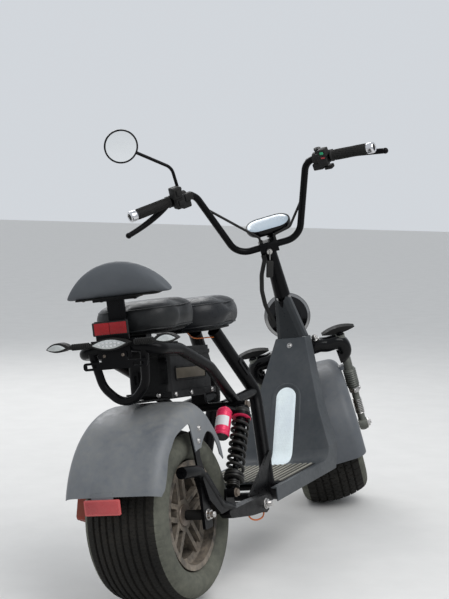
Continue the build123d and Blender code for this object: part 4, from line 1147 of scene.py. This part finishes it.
bars = [bar_frame(1), bar_frame(-1)]
grip = [(11.2, 0.3), (15.5, 0.3), (16.4, 1.5), (16.4, 5)]
for k in range(22):
    start = 7 + 5.0 * k
    grip += [(15.0, start), (15.0, start + 1.2), (16.2, start + 1.9), (16.2, start + 4.2)]
grip += [(17.8, 117.5), (18.4, 119), (18.4, 121.5), (11.2, 122)]
grips = [(turned(grip, 36), place @ at(0, 0, grip_start)) for place in bars]
steered("grip_covers", grips, "rubber", "rubber_black", angle=50, hides=("grips",))
ridges = []
for place in bars:
    for a in around(18):
        twist = [polar(16.1, a + 0.006 * t, grip_start + 7 + t) for t in range(0, 108, 6)]
        ridges.append((tube(twist, 0.8, 5), place))
steered("grip_ridges", ridges, "rubber", "rubber_black")
end_cap = [(10, -3.2), (11, -5.4), (13.5, -5.7), (16.2, -3.5), (17, 0), (17, 13), (16.2, 16.4),
    (11.2, 16.6)]
steered("bar_end_caps", [(turned(end_cap, 36), place) for place in bars], "alloy", "alloy",
    hides=("bar_ends",))
plug = [(10.2, -1.5), (10, -3.6), (7, -4.6), (0, -4.9)]
steered("bar_end_plugs", [(turned(plug, 24), place) for place in bars], "rubber", "rubber_black")


def thick_line(points, radii, flat=1.0, count=12):
    """A bar of changing thickness along a smooth line through three points."""
    a, b, c = (Vector(p) for p in points)
    steps = 24
    line = [a * (1 - t)**2 + (b * 2 - (a + c) / 2) * 2 * t * (1 - t) + c * t**2 for t in (k / steps
        for k in range(steps + 1))]
    rows = []
    for k, p in enumerate(line):
        along = (line[min(k + 1, steps)] - line[max(k - 1, 0)]).normalized()
        side = Vector((0, 0, 1)).cross(along).normalized()
        over = along.cross(side)
        share = k / steps
        radius = radii[0] + (radii[1] - radii[0]) * share
        rows.append([p + side * radius * cos(t) + over * radius * flat * sin(t) for t in around(count)])
    return skin(rows)


perch = [(11.2, 145), (18, 145), (19.2, 147), (19.2, 166), (18, 168), (11.2, 168)]
adjuster = [(5, 0), (6, 1), (6, 14), (4, 16), (4, 22), (0, 22)]
tip_ball = [(9.4 * cos(radians(a)), 9.4 * sin(radians(a))) for a in range(-90, 91, 15)]
lever_parts = []
for side, drop, reach in ((1, 66, 8), (-1, 30, 20)):
    origin, run, ahead = bar_lines(side)
    root = origin + run * 157 + ahead * 34 + Vector((0, 0, -10))
    middle = origin + run * 90 + ahead * 46 + Vector((0, 0, -drop * 0.7))
    tip = origin - run * reach + ahead * 40 + Vector((0, 0, -drop))
    bar = bar_frame(side)
    lever_parts += here(thick_line((root, middle, tip), (9.6, 7.2), 1.2))
    lever_parts += [(turned(tip_ball, 18), at(*tip)), (turned(perch, 30), bar),
        (block((10, -9, 147), (40, 7, 166), 3, 3), bar), (bolt(1.2), bar @ at(33, 7, 157, to_left)),
        (turned(adjuster, 14), bar @ at(36, -2, 160, (0.3, 0, 1)))]
steered("lever_sets", lever_parts, "frame", "plastic_black", hides=("brake_levers",))

housing = [(11.2, 170.3), (19, 170.3), (20, 172), (20, 198), (19, 199.7), (11.2, 199.7)]
pods = [(turned(housing, 30), bar) for bar in bars]
left, right = bars
pods += [(block(*sizes), bar) for bar, *sizes in ((left, (-36, -17, 146), (-8, 24, 178), 4, 3),
    (left, (-40, -46, 140), (-8, -10, 170), 4, 3), (left, (-24, 8, 172), (18, 32, 204), 4, 3),
    (left, (-46, -38, 148), (-39, -20, 162), 1.5), (left, (-42, -4, 152), (-35, 12, 170), 1.5),
    (left, (-30, -14, 182), (-12, 10, 212), 3, 3), (right, (-36, -34, 140), (-8, -10, 168), 3.5, 3),
    (right, (-26, -20, 148), (-6, 22, 180), 3, 3), (right, (-18, 12, 172), (16, 34, 206), 3.5, 3),
    (right, (-4, 30, 150), (20, 42, 176), 3, 3))]
for side in (1, -1):
    mount = [(8.2, 990), (9.4, 991), (9.4, 1004), (11, 1005), (11, 1012)]
    mount += [(6.8, 1011.8), (4.3, 1011.8), (4.0, 998)] if side < 0 else [(6, 1012.2), (0, 1012.2)]
    pods.append((turned(mount, 24), at(-51.5, side * 223.3, 0)))
steered("switch_housings", pods, "rubber", "plastic_black", hides=("switch_pods",))
steered("green_switch", block((-38, -27, 147), (-33, -19, 159), 1.5), "green", "plastic_black",
    steering @ right)
steered("red_switch", block((-30, -13, 151), (-23.5, -3, 163), 1.5), "red", "plastic_black",
    steering @ right)
pod_screws = [(bolt(0.7), at(x, 26, z, to_left)) for x, z in ((-12, 182), (10, 192))]
steered("pod_screws", [(form, bar @ place) for bar in bars for form, place in pod_screws], "steel",
    "axle_steel")

display_place = steering @ at(38, -17, 767) @ tipped(-10)
shell = [(30, 0), (14, 0), (8, 2), (3.5, 6.5), (1, 12), (0.2, 17), (0.2, 22), (1.2, 25), (3, 26), (5.6, 26),
    (6.4, 24.4)]
steered("display_shell", stacked(92, 148, 44, shell, 14), "gloss", "plastic_black", display_place,
    hides=("display_pod",))
# The pane's pale blue-grey colour is a painted sky reflection.
pane = [(6.4, 24.6), (8, 25.4), (20, 25.9), (34, 26.0)]
steered("display_pane", stacked(92, 148, 44, pane, 14), "screen", "display_glass", display_place,
    hides=("display_glass",))

riser = here(block((-21, -29, 731), (21, 29, 745), 4, 3))
riser += [(bolt(1.1), at(q, y, 745)) for q in (-13, 13) for y in (-20, 20)]
lock = [(turned([(9.5, 0), (9.5, 10), (8.5, 12), (3, 12), (3, 10.5), (0, 10.5)], 24), at(-20, 2, 719,
    (-1, 0, 0)))]
steered("ignition_lock", lock, "steel", "axle_steel")
steered("clamp_cap", riser, "frame", "frame_black")
down = (steering.to_3x3().inverted() @ Vector((0, 0, -1))).normalized()
key_foot = Vector((-36, 2, 719))
ring_middle = key_foot + Vector((-5, 0, 0)) + down * 14
ring_side = down.cross(Vector(to_left)).normalized()
ring_radius = 11
key_ring = [ring_middle + down * ring_radius * cos(t) + ring_side * ring_radius * sin(t)
    for t in around(28)]
key_parts = here(block((-42, 1, 712), (-31, 3.4, 726), 0.8), tube(key_ring, 0.9, 6, closed=True))
steered("key_and_ring", key_parts, "steel", "axle_steel")
fob = here(block((-12, -5, -27), (12, 5, 27), 4.5, 4), block((-7, -6, -12), (7, -4.4, 12), 0.8))
fob_turn = axes(ring_side, down.cross(ring_side), down)
fob_place = steering @ at(*(ring_middle + down * 38)) @ fob_turn @ Matrix.Rotation(radians(62), 4, "Z")
steered("key_fob", fob, "rubber", "plastic_black", fob_place)
fob_trim = [(x, -5.8, z) for x, z in plan(17, 44, 4)]
steered("fob_trim", tube(fob_trim, 0.9, 6, closed=True), "steel", "axle_steel", fob_place)


# Mirror rim, slotted tags and loose wires

mirror_face = steering @ at(-60, 352, 1192, (-1, -0.12, 0.1))
rim_loop = [(46.8, 11.7), (47.6, 12.5), (50.6, 12.7), (51.8, 12.1), (51.8, 11.7)]
steered("mirror_rim", grid([[polar(r, t, z) for r, z in rim_loop] for t in around(64)], close_u=True,
    close_v=True), "gloss", "plastic_black", mirror_face)


def slotted(long, wide, slot_long, slot_wide, thick=3):
    """A plate with round corners and one long slot."""
    outer, inner = plan(long, wide, 4), plan(slot_long, slot_wide, slot_wide / 2 - 0.05)
    rows = [[(x, y, z) for x, y in ring] for ring, z in ((outer, 0), (outer, thick), (inner, thick),
        (inner, 0))]
    return grid(rows, close_u=True, close_v=True)


mast_head, mast_foot, mast_radius = Vector((398, -30, 664)), Vector((556, -64, 468)), 19
mast_run = (mast_foot - mast_head).normalized()
mast_out = (Vector((0, -1, 0)) + mast_run * mast_run.y).normalized()
tag_spot = mast_head.lerp(mast_foot, 0.6) + mast_out * (mast_radius - 0.8)
mast_turn = axes(mast_run, mast_out.cross(mast_run), mast_out)
tags = [(slotted(44, 18, 26, 7), box_place @ at(box_rear - 3.5, 34, -14, to_rear, 90)),
    (slotted(58, 22, 34, 8), upright @ at(*tag_spot) @ mast_turn)]
fixed("slotted_tags", tags, "frame", "frame_black", Matrix())


def wire(name, points, thick):
    """A loose wire near points in millimetres of the upright frame, whose ends sit in or on solids."""
    spots = [upright @ Vector(p) for p in points]
    curve = bpy.data.curves.new(name, "CURVE")
    curve.dimensions = "3D"
    spline = curve.splines.new("NURBS")
    spline.points.add(len(spots) - 1)
    for point, spot in zip(spline.points, spots):
        point.co = (*spot, 1)
    spline.order_u = 3
    spline.use_endpoint_u = True
    spline.resolution_u = 12
    piece = shown(name, curve)
    bpy.context.view_layer.update()
    line = piece.to_mesh()
    piece.to_mesh_clear()
    curve.bevel_depth = thick / 2
    curve.bevel_resolution = 3
    curve.use_fill_caps = True
    curve.materials.append(mats["orange"])
    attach(piece, "frame")


wire("seat_wire", [(240, -24, 673), (252, -22, 667), (275, -18, 658), (305, -15, 652), (338, -18, 649),
    (370, -26, 648), (397, -33, 645)], 0.0035)
wire("arm_wire", [(262, -125.5, 185), (267, -127, 160), (292, -130, 144), (328, -132, 138),
    (360, -130, 139), (384, -124, 148), (390, -116, 168)], 0.0045)


# Light and floor

bpy.context.scene.view_settings.view_transform = "Standard"
world = bpy.data.worlds.new("studio")
bpy.context.scene.world = world
world.use_nodes = True
world.node_tree.nodes["Background"].inputs["Color"].default_value = (0.86, 0.9, 0.95, 1)
world.node_tree.nodes["Background"].inputs["Strength"].default_value = 0.75


def area(name, place, target, size, power):
    light = bpy.data.lights.new(name, "AREA")
    light.size = size
    light.energy = power
    lamp = shown(name, light)
    lamp.location = place
    lamp.rotation_mode = "QUATERNION"
    lamp.rotation_quaternion = (Vector(target) - Vector(place)).to_track_quat("-Z", "Y")


area("key", (-1.5, -2.5, 3.6), (0, 0, 0.5), 2.6, 95)
area("back", (2.4, 2.2, 3.0), (0, 0, 0.5), 2.2, 55)

floor_mesh = bpy.data.meshes.new("floor")
floor_half = 30
floor_corners = [(x * floor_half, y * floor_half, 0) for x, y in ((-1, -1), (1, -1), (1, 1), (-1, 1))]
floor_mesh.from_pydata(floor_corners, [], [(0, 1, 2, 3)])
floor = shown("floor", floor_mesh)
floor_mesh.materials.append(material("floor", (0.72, 0.71, 0.69), 0.8, mottle=0.02))
